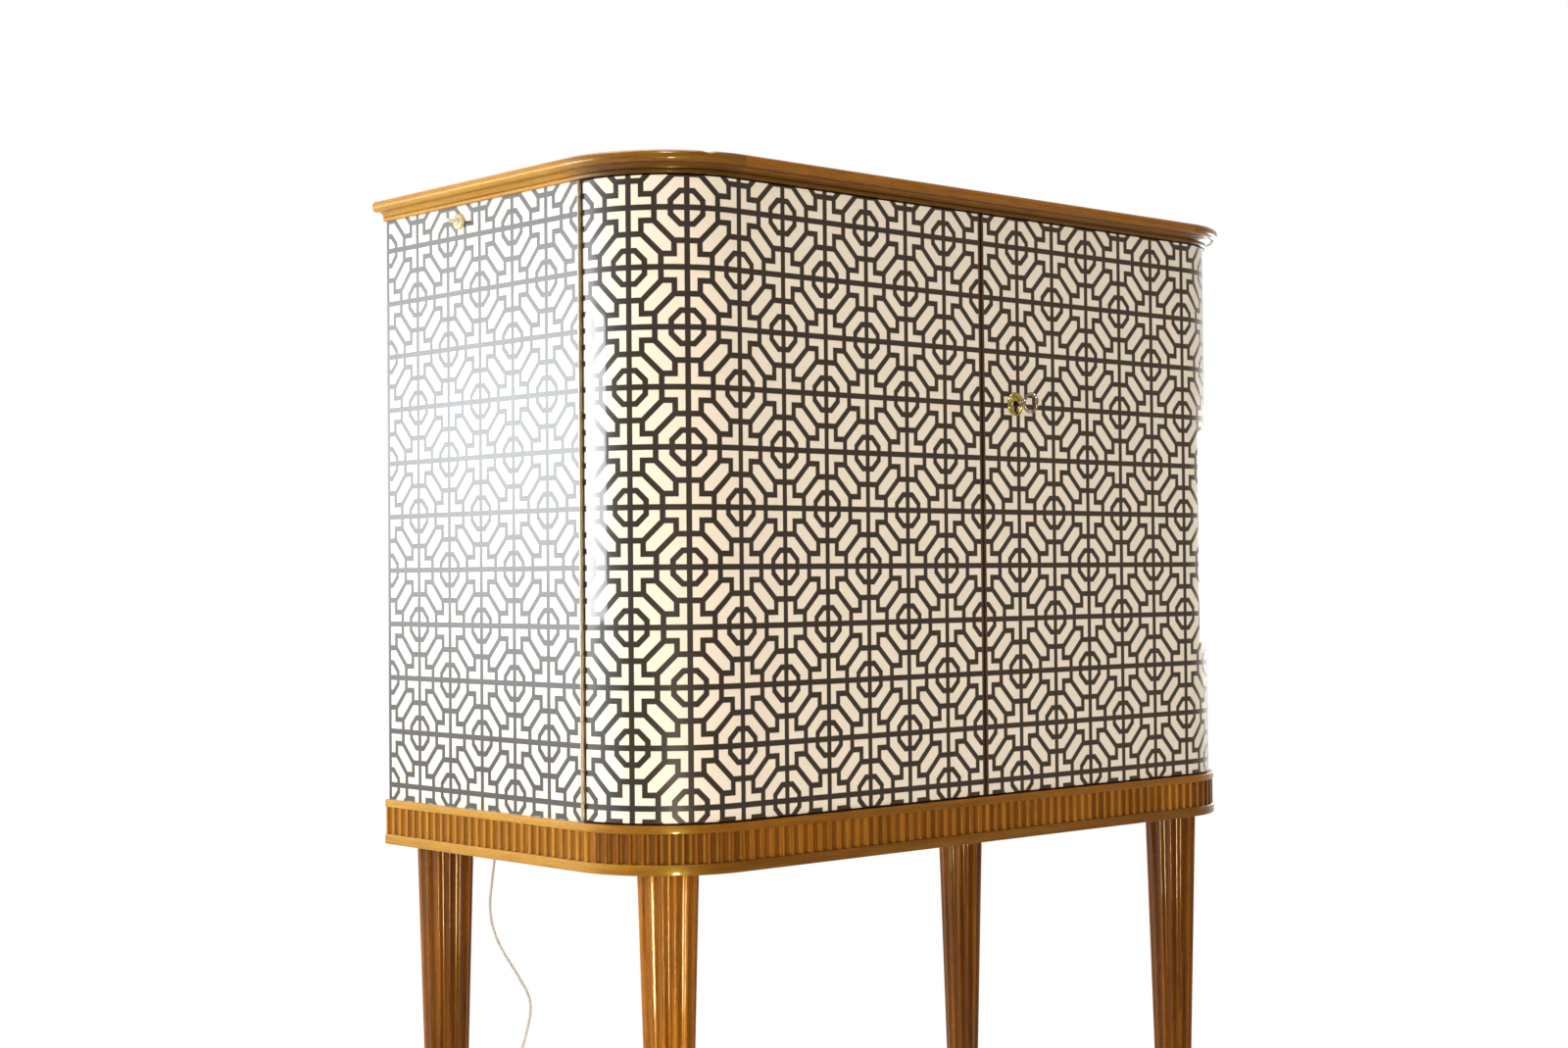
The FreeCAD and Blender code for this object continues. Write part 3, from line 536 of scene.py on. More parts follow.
def metal(name, clean, tarnished, smooth, rough, spots=60.0):
    """Metal that is tarnished in soft patches."""
    finish = Finish(name, Metallic=1.0)
    place = finish.object_place()
    patches = finish.noise(place, spots, 4.0, 0.62)
    scratches = finish.noise(finish.stretched(place, (900, 900, 90)), 1.0, 2.0)
    tarnish = finish.between(patches, 0.38, 0.68)
    finish.give("Base Color", finish.blend(tarnish, rgba(*clean), rgba(*tarnished)))
    finish.give("Roughness", smooth + tarnish * (rough - smooth) + scratches * 0.06)
    finish.relief(scratches, 0.02 * mm, 0.3)
    return finish.material


def plastic(name, pale, dark, shine, speckle=35.0):
    """Moulded plastic with a faint mottle."""
    finish = Finish(name, Specular_IOR_Level=0.5)
    place = finish.object_place()
    mottle = finish.noise(place, speckle, 4.0, 0.6)
    skin = finish.noise(place, 1500, 2.0)
    finish.give("Base Color", finish.blend(mottle, rgba(*dark), rgba(*pale)))
    finish.give("Roughness", shine + mottle * 0.1)
    finish.relief(skin, 0.02 * mm, 0.3)
    return finish.material


def clear_glass(name, tint):
    """Clear glass with faint smears."""
    finish = Finish(name, Transmission_Weight=0.94, IOR=1.5)
    smears = finish.noise(finish.stretched(finish.object_place(), (9, 30, 30)), 1.0, 3.0, 0.6)
    finish.give("Base Color", finish.blend(smears, rgba(*tint), rgba(0.97, 0.985, 0.975)))
    finish.give("Roughness", 0.01 + smears * 0.04)
    return finish.material


def silvered_glass():
    """A mirror with a little foxing."""
    finish = Finish("silvered_glass", Metallic=1.0)
    place = finish.object_place()
    fox = finish.between(finish.noise(place, 22, 6.0, 0.75), 0.68, 0.8)
    finish.give("Base Color", finish.blend(fox, rgba(0.83, 0.86, 0.85), rgba(0.42, 0.38, 0.32)))
    finish.give("Roughness", 0.015 + fox * 0.25)
    return finish.material


def opal_glass():
    """The lamp's frosted tube."""
    finish = Finish("opal_glass", Coat_Weight=0.6, Coat_Roughness=0.08)
    cloud = finish.noise(finish.object_place(), 40, 3.0)
    finish.give("Base Color", finish.blend(cloud, rgba(0.82, 0.81, 0.76), rgba(0.90, 0.89, 0.85)))
    finish.give("Roughness", 0.28 + cloud * 0.1)
    return finish.material


# Painted light: the woods of the left side take paler tones, straw and ochre, where the window's
# light falls on them
lit_left_side = {"faded": straw, "fading": (lit_side_start, lit_side_end)}
finishes = {material.name: material for material in (
    wood("walnut_moulding", Finish.run_place, "x", golden, 0.3, figure=0.4, painted_shade=bead_painted_shade,
         **lit_left_side, **golden_glow),
    wood("walnut_corner", Finish.run_place, "x", chestnut, 0.5, figure=0.5, painted_shade=bead_painted_shade,
         **lit_left_side, **golden_glow),
    wood("walnut_band", Finish.run_place, "x", golden, 0.2, figure=0.5, **lit_left_side,
         **golden_glow),
    wood("walnut_foot", Finish.run_place, "x", chestnut, 0.2, figure=0.5, faded=straw,
         fading=(foot_lit_start, lit_side_end), **golden_glow),
    wood("corner_flutes", Finish.run_place, "z", sepia, 0.16, figure=0.6, painted_shade=flute_painted_shade,
         **tawny_glow),
    wood("walnut_flutes", Finish.run_place, "z", tawny, 0.16, figure=0.6, faded=ochre,
         fading=(strip_lit_start, strip_lit_end), painted_shade=flute_painted_shade, **tawny_glow),
    # The front left leg's lighter tones and the other legs' darker ones are partly the wood's own
    # and partly painted light and shade
    wood("amber_leg", Finish.object_place, "z", amber, 0.2, shine=0.16, painted_shade=leg_painted_shade,
         **amber_glow),
    wood("umber_legs", Finish.object_place, "z", umber, 0.28, shine=0.16, painted_shade=leg_painted_shade,
         **amber_glow),
    wood("top_leaf", Finish.object_place, "x", golden, 0.5, figure=1.2),
    wood("inside_upright", Finish.object_place, "z", honey, 0.25),
    wood("inside_level", Finish.object_place, "x", honey, 0.25),
    # The lipping's dark tones are partly its own wood and partly painted shade, so that the gap
    # between the doors reads dark
    wood("lipping", Finish.object_place, "z", gap_shade_russet, 0.5),
    wood("plywood", Finish.object_place, "z", birch, 0.0, flecks=0.2),
    wood("base_pine_x", Finish.object_place, "x", pine, 0.0, flecks=0.1),
    wood("base_pine_y", Finish.object_place, "y", pine, 0.0, flecks=0.1),
    printed_lattice(),
    sheet_edge(),
    metal("brass", (0.74, 0.68, 0.32), (0.38, 0.33, 0.11), 0.10, 0.24),
    metal("dull_brass", (0.44, 0.38, 0.29), (0.35, 0.30, 0.23), 0.34, 0.46),
    metal("key_nickel", (0.54, 0.48, 0.42), (0.26, 0.19, 0.14), 0.12, 0.3, 160.0),
    metal("grey_steel", (0.56, 0.55, 0.52), (0.36, 0.33, 0.29), 0.28, 0.48),
    silvered_glass(),
    clear_glass("clear_glass", (0.86, 0.95, 0.91)),
    clear_glass("glass_edge", (0.30, 0.62, 0.50)),
    opal_glass(),
    plastic("white_enamel", (0.80, 0.79, 0.74), (0.72, 0.71, 0.66), 0.25),
    plastic("ivory", (0.80, 0.71, 0.53), (0.70, 0.60, 0.41), 0.28),
    plastic("aged_ivory", (0.65, 0.56, 0.34), (0.55, 0.46, 0.26), 0.3, 120.0),
    plastic("keyhole_shade", (0.020, 0.016, 0.012), (0.011, 0.009, 0.007), 0.6, 90.0),
    plastic("cord_skin", (0.66, 0.60, 0.51), (0.57, 0.51, 0.42), 0.75),
)}


# The rounded outline

def outline(run, out, height):
    """The point at a run along the outline and a distance out from the body's face."""
    turn = min(max((abs(run) - corner_start) / corner_radius, 0), math.pi / 2)
    level = min(abs(run), corner_start)
    beyond = max(abs(run) - corner_end, 0)
    radius = corner_radius + out
    x = math.copysign(level + radius * math.sin(turn), run)
    y = corner_y - radius * math.cos(turn) + beyond
    return Vector((x, y, height))


def run_of(point):
    """The run of a point, and its distance out from the body's face."""
    if point.y > corner_y:
        return math.copysign(corner_end + point.y - corner_y, point.x), abs(point.x) - half_width
    if abs(point.x) < corner_x:
        return point.x, front_y - point.y
    side = abs(point.x) - corner_x
    front = corner_y - point.y
    turn = math.atan2(side, front)
    run = corner_start + corner_radius * turn
    return math.copysign(run, point.x), math.hypot(side, front) - corner_radius


def mark_runs(mesh, shift=0.0):
    """Keep on each point its run, distance out and height for the finishes to read.

    The shift gives each length of wood a grain of its own.
    """
    places = []
    outs = []
    for vertex in mesh.vertices:
        run, out = run_of(vertex.co)
        places += [run, out + shift, vertex.co.z]
        outs.append(out)
    layer = mesh.attributes.new("run_place", "FLOAT_VECTOR", "POINT")
    layer.data.foreach_set("vector", places)
    layer = mesh.attributes.new("outward", "FLOAT", "POINT")
    layer.data.foreach_set("value", outs)


# Making meshes

def mesh_from(name, points, faces, angle=30):
    """A mesh with outward faces, smooth up to an angle in degrees."""
    shape = bmesh.new()
    corners = [shape.verts.new(point) for point in points]
    for face in faces:
        shape.faces.new([corners[index] for index in face])
    bmesh.ops.remove_doubles(shape, verts=shape.verts, dist=0.001 * mm)
    bmesh.ops.recalc_face_normals(shape, faces=shape.faces)
    mesh = bpy.data.meshes.new(name)
    shape.to_mesh(mesh)
    shape.free()
    return smoothed(mesh, angle)


def smoothed(mesh, angle):
    """Make a mesh smooth, but for edges that turn by more than an angle in degrees."""
    mesh.shade_smooth()
    mesh.set_sharp_from_angle(angle=math.radians(angle))
    return mesh


def show(name, data):
    """Put an object with a shape, a lamp or a camera into the scene."""
    item = bpy.data.objects.new(name, data)
    bpy.context.scene.collection.objects.link(item)
    return item


def place_piece(shape, name, finish, body, slot, *nodes):
    """Show a mesh or a curve as a piece that rides on a body and stands for CAD nodes.

    With no finish it keeps the ones that it has.
    """
    piece = show(name, shape)
    if finish:
        shape.materials.clear()
        shape.materials.append(finishes[finish])
    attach(piece, body)
    if nodes:
        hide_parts(*nodes)
    return piece


def give_two_finishes(mesh, main, other, takes_other):
    """Give a mesh a main finish, and another one on the faces that a test picks."""
    mesh.materials.clear()
    for name in (main, other):
        mesh.materials.append(finishes[name])
    for polygon in mesh.polygons:
        polygon.material_index = int(takes_other(polygon))


def tube_faces(rings, around):
    """Faces between rings of points that follow one another, and one face at each end."""
    faces = []
    for low in range(0, (rings - 1) * around, around):
        for index in range(around):
            following = (index + 1) % around
            faces.append((low + index, low + following,
                          low + around + following, low + around + index))
    faces.append(range(around))
    faces.append(range((rings - 1) * around, rings * around))
    return faces


def swept(name, section, first, last, dip=None):
    """A closed section of (out, height) points drawn along the outline between two runs."""
    count = max(2, math.ceil((last - first) / outline_step))
    points = []
    for stop in range(count + 1):
        run = first + (last - first) * stop / count
        for out, height in section:
            drop = dip(run, height) if dip else 0
            points.append(outline(run, out - drop * dent_inward_share, height - drop))
    return mesh_from(name, points, tube_faces(count + 1, len(section)))


def turned(profile, start, way, segments):
    """Points and faces of a turned shape; profile is (radius, distance along way) pairs."""
    turn = Vector(way).to_track_quat("Z", "Y").to_matrix()
    points = []
    for radius, along in profile:
        for index in range(segments):
            angle = 2 * math.pi * index / segments
            spoke = Vector((radius * math.cos(angle), radius * math.sin(angle), along))
            points.append(Vector(start) + turn @ spoke)
    return points, tube_faces(len(profile), segments)


def turned_ring(profile, start, way, segments):
    """A turned shape whose profile is closed on itself, open along its axis."""
    points, faces = turned(profile, start, way, segments)
    faces = faces[:-2]
    last = (len(profile) - 1) * segments
    for index in range(segments):
        following = (index + 1) % segments
        faces.append((last + index, last + following, following, index))
    return points, faces


def block(low, high, edge, segments=2):
    """Points and faces of a box with rounded edges."""
    shape = bmesh.new()
    size = Vector(high) - Vector(low)
    middle = (Vector(high) + Vector(low)) / 2
    matrix = Matrix.Translation(middle) @ Matrix.Diagonal((*size, 1))
    bmesh.ops.create_cube(shape, size=1, matrix=matrix)
    bmesh.ops.bevel(shape, geom=shape.edges, offset=edge, segments=segments,
                    affect="EDGES", profile=0.5)
    shape.verts.index_update()
    points = [vertex.co.copy() for vertex in shape.verts]
    faces = [[vertex.index for vertex in face.verts] for face in shape.faces]
    shape.free()
    return points, faces


def together(parts):
    """Points and faces of several shapes as one list."""
    points = []
    faces = []
    for part_points, part_faces in parts:
        base = len(points)
        points += part_points
        faces += [[base + index for index in face] for face in part_faces]
    return points, faces


def arc(middle, radius, start, end, count):
    """Points on an arc; angles are in degrees from the first axis to the second."""
    places = []
    for index in range(count + 1):
        angle = math.radians(start + (end - start) * index / count)
        places.append((middle[0] + radius * math.cos(angle), middle[1] + radius * math.sin(angle)))
    return places


def bowl(share):
    """How deep a round hollow is at a share of its width: 0 at both edges, 1 in the middle."""
    return 4 * share * (1 - share)


def round_wire(name, routes, radius, steps):
    """A curve of round section that follows the places of each route."""
    curve = bpy.data.curves.new(name, "CURVE")
    curve.dimensions = "3D"
    curve.bevel_depth = radius
    curve.bevel_resolution = 3
    curve.resolution_u = steps
    for route in routes:
        spline = curve.splines.new("NURBS")
        spline.points.add(len(route) - 1)
        for point, place in zip(spline.points, route):
            point.co = (*place, 1)
        spline.order_u = 3
        spline.use_endpoint_u = True
    return curve


def cut(mesh, tool_mesh, angle=30):
    """A mesh with another one cut out of it, smooth up to an angle in degrees."""
    piece = show("being_cut", mesh)
    tool = show("cutter", tool_mesh)
    modifier = piece.modifiers.new("cut", "BOOLEAN")
    modifier.operation = "DIFFERENCE"
    modifier.solver = "EXACT"
    modifier.object = tool
    result = made_real(piece)
    bpy.data.objects.remove(tool)
    return smoothed(result, angle)


def made_real(carrier):
    """The mesh that an object's modifier makes; then the modifier and the object go."""
    graph = bpy.context.evaluated_depsgraph_get()
    mesh = bpy.data.meshes.new_from_object(carrier.evaluated_get(graph))
    carrier.modifiers.clear()
    bpy.data.objects.remove(carrier)
    return mesh


class Shaping(Tree):
    """A Geometry Nodes tree with named inputs."""

    def __init__(self, name, inputs):
        super().__init__(bpy.data.node_groups.new(name, "GeometryNodeTree"))
        for way in ("INPUT", "OUTPUT"):
            self.new_socket("Geometry", way, "Geometry")
        self.sockets = {label: self.new_socket(label, "INPUT", kind)
                        for label, kind in inputs.items()}
        self.entry = self.tree.nodes.new("NodeGroupInput")

    def new_socket(self, label, way, kind):
        """A socket on the outside of the tree."""
        return self.tree.interface.new_socket(label, in_out=way, socket_type="NodeSocket" + kind)

    def given(self, label):
        """The signal of a named input."""
        return Signal(self, self.entry.outputs[label])

    def send_out(self, geometry, finish):
        """Make the result real, give it its finish and send it out."""
        real = self.node("GeometryNodeRealizeInstances", {}, {0: geometry})
        dressed = self.node("GeometryNodeSetMaterial", {},
                            {"Geometry": real, "Material": finishes[finish]})
        output = self.tree.nodes.new("NodeGroupOutput")
        self.feed(output.inputs[0], dressed)

    def shape(self, values, angle=30):
        """The plain mesh that the tree makes from these input values."""
        carrier = show("carrier", bpy.data.meshes.new("carrier"))
        modifier = carrier.modifiers.new("shaping", "NODES")
        modifier.node_group = self.tree
        for label, value in values.items():
            modifier[self.sockets[label].identifier] = value
        return smoothed(made_real(carrier), angle)


# Camera and cord

def place_camera():
    """A camera at the photograph's point of view, with its lens and its tilt."""
    data = bpy.data.cameras.new("camera")
    data.sensor_width = 36
    data.lens = camera_lens
    camera = show("camera", data)
    azimuth = math.radians(camera_azimuth)
    elevation = math.radians(camera_elevation)
    roll = math.radians(camera_roll)
    ahead = Vector((math.sin(azimuth) * math.cos(elevation),
                    math.cos(azimuth) * math.cos(elevation), math.sin(elevation)))
    level = Vector((math.cos(azimuth), -math.sin(azimuth), 0))
    upright = level.cross(ahead)
    right = level * math.cos(roll) + upright * math.sin(roll)
    up = upright * math.cos(roll) - level * math.sin(roll)
    turn = Matrix((right, up, -ahead)).transposed().to_4x4()
    camera.matrix_world = Matrix.Translation(camera_place) @ turn
    bpy.context.scene.camera = camera


def coil_place(turns):
    """The middle of the cord in its coil after so many turns."""
    period = coil_turns_per_layer + coil_climb
    layer = min(int(turns // period), coil_layers - 1)
    along = turns - layer * period
    spiral = min(along, coil_turns_per_layer)
    rising = max(along - coil_turns_per_layer, 0) / coil_climb
    travelled = coil_turns_per_layer - spiral if layer % 2 else spiral
    radius = coil_outer_radius - coil_step * travelled
    height = cord_floor_height + coil_step * (layer + rising)
    angle = math.pi + 2 * math.pi * turns
    return Vector((coil_x + radius * math.cos(angle), coil_y + radius * math.sin(angle), height))


def make_cord(plug):
    """The thin cord: down from the gland, then put away in its coil under the cabinet."""
    route = [
        Vector((gland_x, gland_y, gland_foot)),
        Vector((-0.330, 0.226, 0.480)),
        Vector((-0.334, 0.228, 0.441)),
        Vector((-0.338, 0.231, 0.401)),
        Vector((-0.330, 0.225, 0.365)),
        Vector((-0.313, 0.209, 0.329)),
        Vector((-0.302, 0.199, 0.301)),
        Vector((-0.307, 0.203, 0.268)),
        Vector((-0.315, 0.210, 0.234)),
        Vector((-0.313, 0.209, 0.194)),
        Vector((-0.305, 0.203, 0.155)),
        Vector((-0.304, 0.203, 0.115)),
        Vector((-0.311, 0.211, 0.077)),
        Vector((-0.312, 0.216, 0.043)),
        Vector((-0.303, 0.208, 0.015)),
        Vector((-0.294, 0.190, cord_floor_height)),
        Vector((-0.2915, 0.171, cord_floor_height)),
    ]
    count = round(coil_turns * coil_points_per_turn)
    for index in range(count + 1):
        route.append(coil_place(coil_turns * index / count))
    route.append(route[-1] + Vector((0, coil_tail / 2, 0)))
    route.append(route[-1] + Vector((0, coil_tail / 2 + plug_grip, 0)))
    curve = round_wire("power_cord", [route], cord_diameter / 2, 6)
    cord = place_piece(curve, "power_cord_line", "cord_skin", "cabinet", "cord_plastic",
                       "power_cord", "cord_coil")


def make_plug():
    """A round two-pin plug with a grooved boot, lying beside the coil."""
    start = coil_place(coil_turns) + Vector((0, coil_tail, 0))
    boot = [(1.7 * mm, 0), (2.3 * mm, 0.6 * mm)]
    for ring in range(5):
        along = (2 + ring * 3) * mm
        radius = (2.5 + ring * 0.45) * mm
        boot += [(radius, along), (radius - 0.5 * mm, along + 0.5 * mm),
                 (radius - 0.5 * mm, along + 1.3 * mm), (radius + 0.2 * mm, along + 1.8 * mm)]
    body = [(4.6 * mm, 17.6 * mm), (8.2 * mm, 18.2 * mm), (9.2 * mm, 19.2 * mm),
            (10.4 * mm, 24 * mm), (12.3 * mm, 31 * mm), (12.8 * mm, 33 * mm),
            (12.8 * mm, 42.6 * mm), (11.6 * mm, 44 * mm)]
    parts = [turned(boot + body, start, (0, 1, 0), 48)]
    for side in (-1, 1):
        pin_start = start + Vector((side * 6.3 * mm, 43 * mm, 0))
        pin = [(2.4 * mm, 0), (2.4 * mm, 18.2 * mm), (1.9 * mm, 19.6 * mm), (1.0 * mm, 20 * mm)]
        parts.append(turned(pin, pin_start, (0, 1, 0), 24))
    mesh = mesh_from("plug_body", *together(parts))
    pin_base = start.y + 44.2 * mm
    give_two_finishes(mesh, "cord_skin", "key_nickel",
                      lambda polygon: polygon.center.y > pin_base)
    return place_piece(mesh, "plug_body", None, "cabinet", "cord_plastic", "plug")


def make_gland():
    """The ribbed bush that the cord hangs from."""
    profile = [(5 * mm, -17 * mm), (5 * mm, 0), (7 * mm, 0), (7 * mm, 1.7 * mm),
               (6.2 * mm, 2.5 * mm), (4.9 * mm, 2.5 * mm)]
    for ring in range(4):
        along = (4.5 + ring * 4) * mm
        radius = (4.6 - ring * 0.6) * mm
        profile += [(radius, along), (radius - 0.6 * mm, along + 0.4 * mm),
                    (radius - 0.6 * mm, along + 1.4 * mm), (radius - 0.2 * mm, along + 1.8 * mm)]
    profile += [(2.2 * mm, 20.5 * mm)]
    mesh = mesh_from("gland_bush", *turned(profile, (gland_x, gland_y, frieze_top),
                                           (0, 0, -1), 40))
    place_piece(mesh, "gland_bush", "ivory", "cabinet", "cord_plastic", "cord_gland")


# Printed skins

def make_skin(name, first, last, low, high, body, node, hole=None):
    """A printed sheet between two runs, with the lattice on its face."""
    section = [(0, low), (0, high), (-skin_thickness, high), (-skin_thickness, low)]
    mesh = swept(name, section, min(first, last), max(first, last))
    if hole:
        mesh = cut(mesh, hole)
    mark_runs(mesh)
    give_two_finishes(mesh, "printed_lattice", "sheet_edge",
                      lambda polygon: mean_out(mesh, polygon) <= -0.02 * mm)
    place_piece(mesh, name, None, body, "printed_laminate", node)


def mean_out(mesh, polygon):
    """How far out from the body's face the corners of a face lie, on average."""
    outs = [run_of(mesh.vertices[index].co)[1] for index in polygon.vertices]
    return sum(outs) / len(outs)


def keyhole_mesh(start_y, end_y):
    """The keyhole's shape between two depths: a round top and a slot under it."""
    half_slot = keyhole_half_slot
    foot = lock_z - keyhole_drop
    lowest = math.degrees(math.asin(half_slot / keyhole_radius))
    rim = arc((lock_x, lock_z), keyhole_radius, lowest - 90, 270 - lowest, 20)
    rim += [(lock_x - half_slot, foot), (lock_x + half_slot, foot)]
    points = [Vector((x, y, z)) for y in (start_y, end_y) for x, z in rim]
    return mesh_from("keyhole", points, tube_faces(2, len(rim)))


def make_skins():
    """Four printed sheets: two sides and two wrap-round doors."""
    hinge_run = corner_end - joint_half
    side_run = corner_end + joint_half
    door_edge = meeting_gap / 2 + lipping_width
    for side, word in ((-1, "left"), (1, "right")):
        make_skin(word + "_side_sheet", side * side_run, side * back_run, frieze_top,
                  carcass_top, "cabinet", word + "_side_skin")
        hole = keyhole_mesh(front_y - 5 * mm, front_y + 5 * mm) if side > 0 else None
        make_skin(word + "_door_sheet", side * door_edge, side * hinge_run, door_bottom,
                  door_top, word + "_door", word + "_door_skin", hole)


# Top mouldings and frieze

def moulding_section():
    """Bead, cove and round nose, as (out, height) points."""
    nose_low = cabinet_top - nose_height
    bead_top = carcass_top + bead_height
    nose_root = nose_overhang - nose_bulge
    section = [(-edge_inset, carcass_top), (bead_overhang - bead_edge, carcass_top)]
    section += arc((bead_overhang - bead_edge, carcass_top + bead_edge), bead_edge, -80, 0, 5)
    section += arc((bead_overhang - bead_edge, bead_top - bead_edge), bead_edge, 0, 80, 5)
    cove_start = Vector((bead_overhang - 0.3 * mm, bead_top + 0.2 * mm))
    cove_end = Vector((nose_root - 0.2 * mm, nose_low))
    across = cove_end - cove_start
    inward = Vector((-across.y, across.x)).normalized()
    for index in range(cove_steps + 1):
        share = index / cove_steps
        spot = cove_start + across * share + inward * cove_depth * bowl(share)
        section.append((spot.x, spot.y))
    middle = nose_low + nose_height / 2
    rise = nose_height / 2 * nose_height_share
    for index in range(nose_steps + 1):
        angle = math.radians(nose_turn * (2 * index / nose_steps - 1))
        reach = nose_root + nose_bulge * math.cos(angle) ** nose_roundness
        section.append((reach, middle + rise * math.sin(angle)))
    section += [(nose_root - 0.8 * mm, cabinet_top), (-edge_inset, cabinet_top)]
    return section


def dent_at(run, height):
    """How far the top edge dips in the small dent near the left front corner."""
    distance = abs(run - dent_run)
    if distance > dent_reach or height < cabinet_top - nose_height / 2:
        return 0
    return dent_depth * (1 + math.cos(math.pi * distance / dent_reach)) / 2


def make_mouldings():
    """The five lengths of moulding round the top's edge, each with its own grain."""
    section = moulding_section()
    lengths = {
        "left": (-back_run, -corner_end),
        "left_corner": (-corner_end, -corner_start),
        "front": (-corner_start, corner_start),
        "right_corner": (corner_start, corner_end),
        "right": (corner_end, back_run),
    }
    for index, (word, (first, last)) in enumerate(lengths.items()):
        mesh = swept(word + "_nosing", section, first, last, dent_at)
        mark_runs(mesh, shift=moulding_grain_shift * index)
        finish = "walnut_corner" if "corner" in word else "walnut_moulding"
        place_piece(mesh, word + "_nosing", finish, "cabinet", "walnut_finish",
                    "top_moulding_" + word)


def make_band(name, low, high, proud, finish, node):
    """A flat band with rounded edges, round three sides."""
    section = [(-edge_inset, low)]
    section += arc((proud - band_edge, low + band_edge), band_edge, -90, 0, 5)
    section += arc((proud - band_edge, high - band_edge), band_edge, 0, 90, 5)
    section += [(-edge_inset, high)]
    mesh = swept(name, section, -back_run, back_run)
    mark_runs(mesh, shift=band_grain_shift * low)
    place_piece(mesh, name, finish, "cabinet", "walnut_finish", node)


def fluted_tree():
    """Hollow flutes side by side along the rounded outline, as a solid strip."""
    tree = Shaping("fluted_strip", {
        "First Run": "Float", "Last Run": "Float", "Flutes": "Int", "Low": "Float",
        "High": "Float", "Proud": "Float", "Hollow": "Float", "Inset": "Float"})
    steps = tree.given("Flutes") * steps_per_flute
    count = steps * 2 + 2
    line = tree.node("GeometryNodeCurvePrimitiveLine")
    points = tree.node("GeometryNodeResampleCurve", {}, {"Curve": line, "Count": count})
    place = fluted_place(tree, steps, count)
    bent = tree.node("GeometryNodeSetPosition", {}, {"Geometry": points, "Position": place})
    closed = tree.node("GeometryNodeSetSplineCyclic", {}, {"Geometry": bent, "Cyclic": True})
    filled = tree.node("GeometryNodeFillCurve", {"mode": "NGONS"}, {"Curve": closed})
    rise = tree.vector(0.0, 0.0, tree.given("High") - tree.given("Low"))
    raised = tree.node("GeometryNodeExtrudeMesh", {"mode": "FACES"}, {
        "Mesh": filled, "Offset": rise, "Individual": False})
    underside = tree.node("GeometryNodeFlipFaces", {}, {"Mesh": filled})
    joined = tree.node("GeometryNodeJoinGeometry")
    for part in (raised, underside):
        tree.tree.links.new(part.socket, joined.socket.node.inputs[0])
    merged = tree.node("GeometryNodeMergeByDistance", {}, {
        "Geometry": joined, "Distance": 0.01 * mm})
    lifted = tree.node("GeometryNodeTransform", {}, {
        "Geometry": merged, "Translation": tree.vector(0.0, 0.0, tree.given("Low"))})
    tree.send_out(lifted, "walnut_flutes")
    return tree


def fluted_place(tree, steps, count):
    """The place of each point of the strip's section: along the flutes, then back inside."""
    index = tree.node("GeometryNodeInputIndex")
    outside = index < steps + 0.5
    counted = index * outside + (count - 1 - index) * (1 - outside)
    share = counted / steps
    first = tree.given("First Run")
    length = tree.given("Last Run") - first
    phase = tree.math("FRACT", share * tree.given("Flutes") + flute_nudge_share)
    half_ridge_share = 1 / steps_per_flute
    off_middle = abs(phase - 0.5) / (0.5 - half_ridge_share)
    hollow = tree.math("SQRT", tree.math("MAXIMUM", 1 - off_middle * off_middle, 0.0))
    out = outside * (tree.given("Proud") - tree.given("Hollow") * hollow)
    out = out - (1 - outside) * tree.given("Inset")
    return outline_signal(tree, first + length * share, out)


def outline_signal(tree, run, out):
    """The outline function as nodes, at height zero."""
    distance = abs(run)
    turn = (distance - corner_start) / corner_radius
    turn = tree.math("MINIMUM", tree.math("MAXIMUM", turn, 0.0), math.pi / 2)
    level = tree.math("MINIMUM", distance, corner_start)
    beyond = tree.math("MAXIMUM", distance - corner_end, 0.0)
    radius = out + corner_radius
    across = level + radius * tree.math("SINE", turn)
    x = tree.math("SIGN", run) * across
    y = beyond + corner_y - radius * tree.math("COSINE", turn)
    return tree.vector(x, y, 0.0)


def make_frieze():
    """Two bands with the fluted strips between them."""
    make_band("frieze_foot_band", leg_length, lower_band_top, lower_band_proud, "walnut_foot",
              "lower_band")
    make_band("frieze_head_band", flutes_top, frieze_top, upper_band_proud, "walnut_band",
              "upper_band")
    tree = fluted_tree()
    strips = {
        "left_flutes": (-back_run, -side_strip_end, side_flutes, "fluted_strip_left"),
        "left_corner_flutes": (-side_strip_end, -front_strip_end, corner_flutes,
                               "fluted_corners"),
        "front_flutes": (-front_strip_end, front_strip_end, front_flutes,
                         "fluted_strip_front"),
        "right_corner_flutes": (front_strip_end, side_strip_end, corner_flutes,
                                "fluted_corners"),
        "right_flutes": (side_strip_end, back_run, side_flutes, "fluted_strip_right"),
    }
    for index, (name, (first, last, count, node)) in enumerate(strips.items()):
        mesh = tree.shape({
            "First Run": first, "Last Run": last, "Flutes": count, "Low": lower_band_top,
            "High": flutes_top, "Proud": ridge_proud, "Hollow": flute_depth,
            "Inset": edge_inset}, 40)
        mark_runs(mesh, shift=flutes_grain_shift * index)
        finish = "corner_flutes" if node == "fluted_corners" else "walnut_flutes"
        place_piece(mesh, name, finish, "cabinet", "walnut_finish", node)


# Legs

def leg_section():
    """One flute and its rounded ridge, as (phase, sink) pairs from ridge middle to middle."""
    half_ridge_share = leg_ridge_share / 2
    section = []
    for index in range(leg_ridge_steps):
        share = index / leg_ridge_steps
        section.append((half_ridge_share * share, leg_ridge_rise * share ** 2))
    for index in range(leg_flute_steps + 1):
        share = index / leg_flute_steps
        phase = half_ridge_share + (1 - leg_ridge_share) * share
        section.append((phase, leg_ridge_rise + leg_hollow * bowl(share)))
    for index in range(leg_ridge_steps - 1, 0, -1):
        share = index / leg_ridge_steps
        section.append((1 - half_ridge_share * share, leg_ridge_rise * share ** 2))
    return section


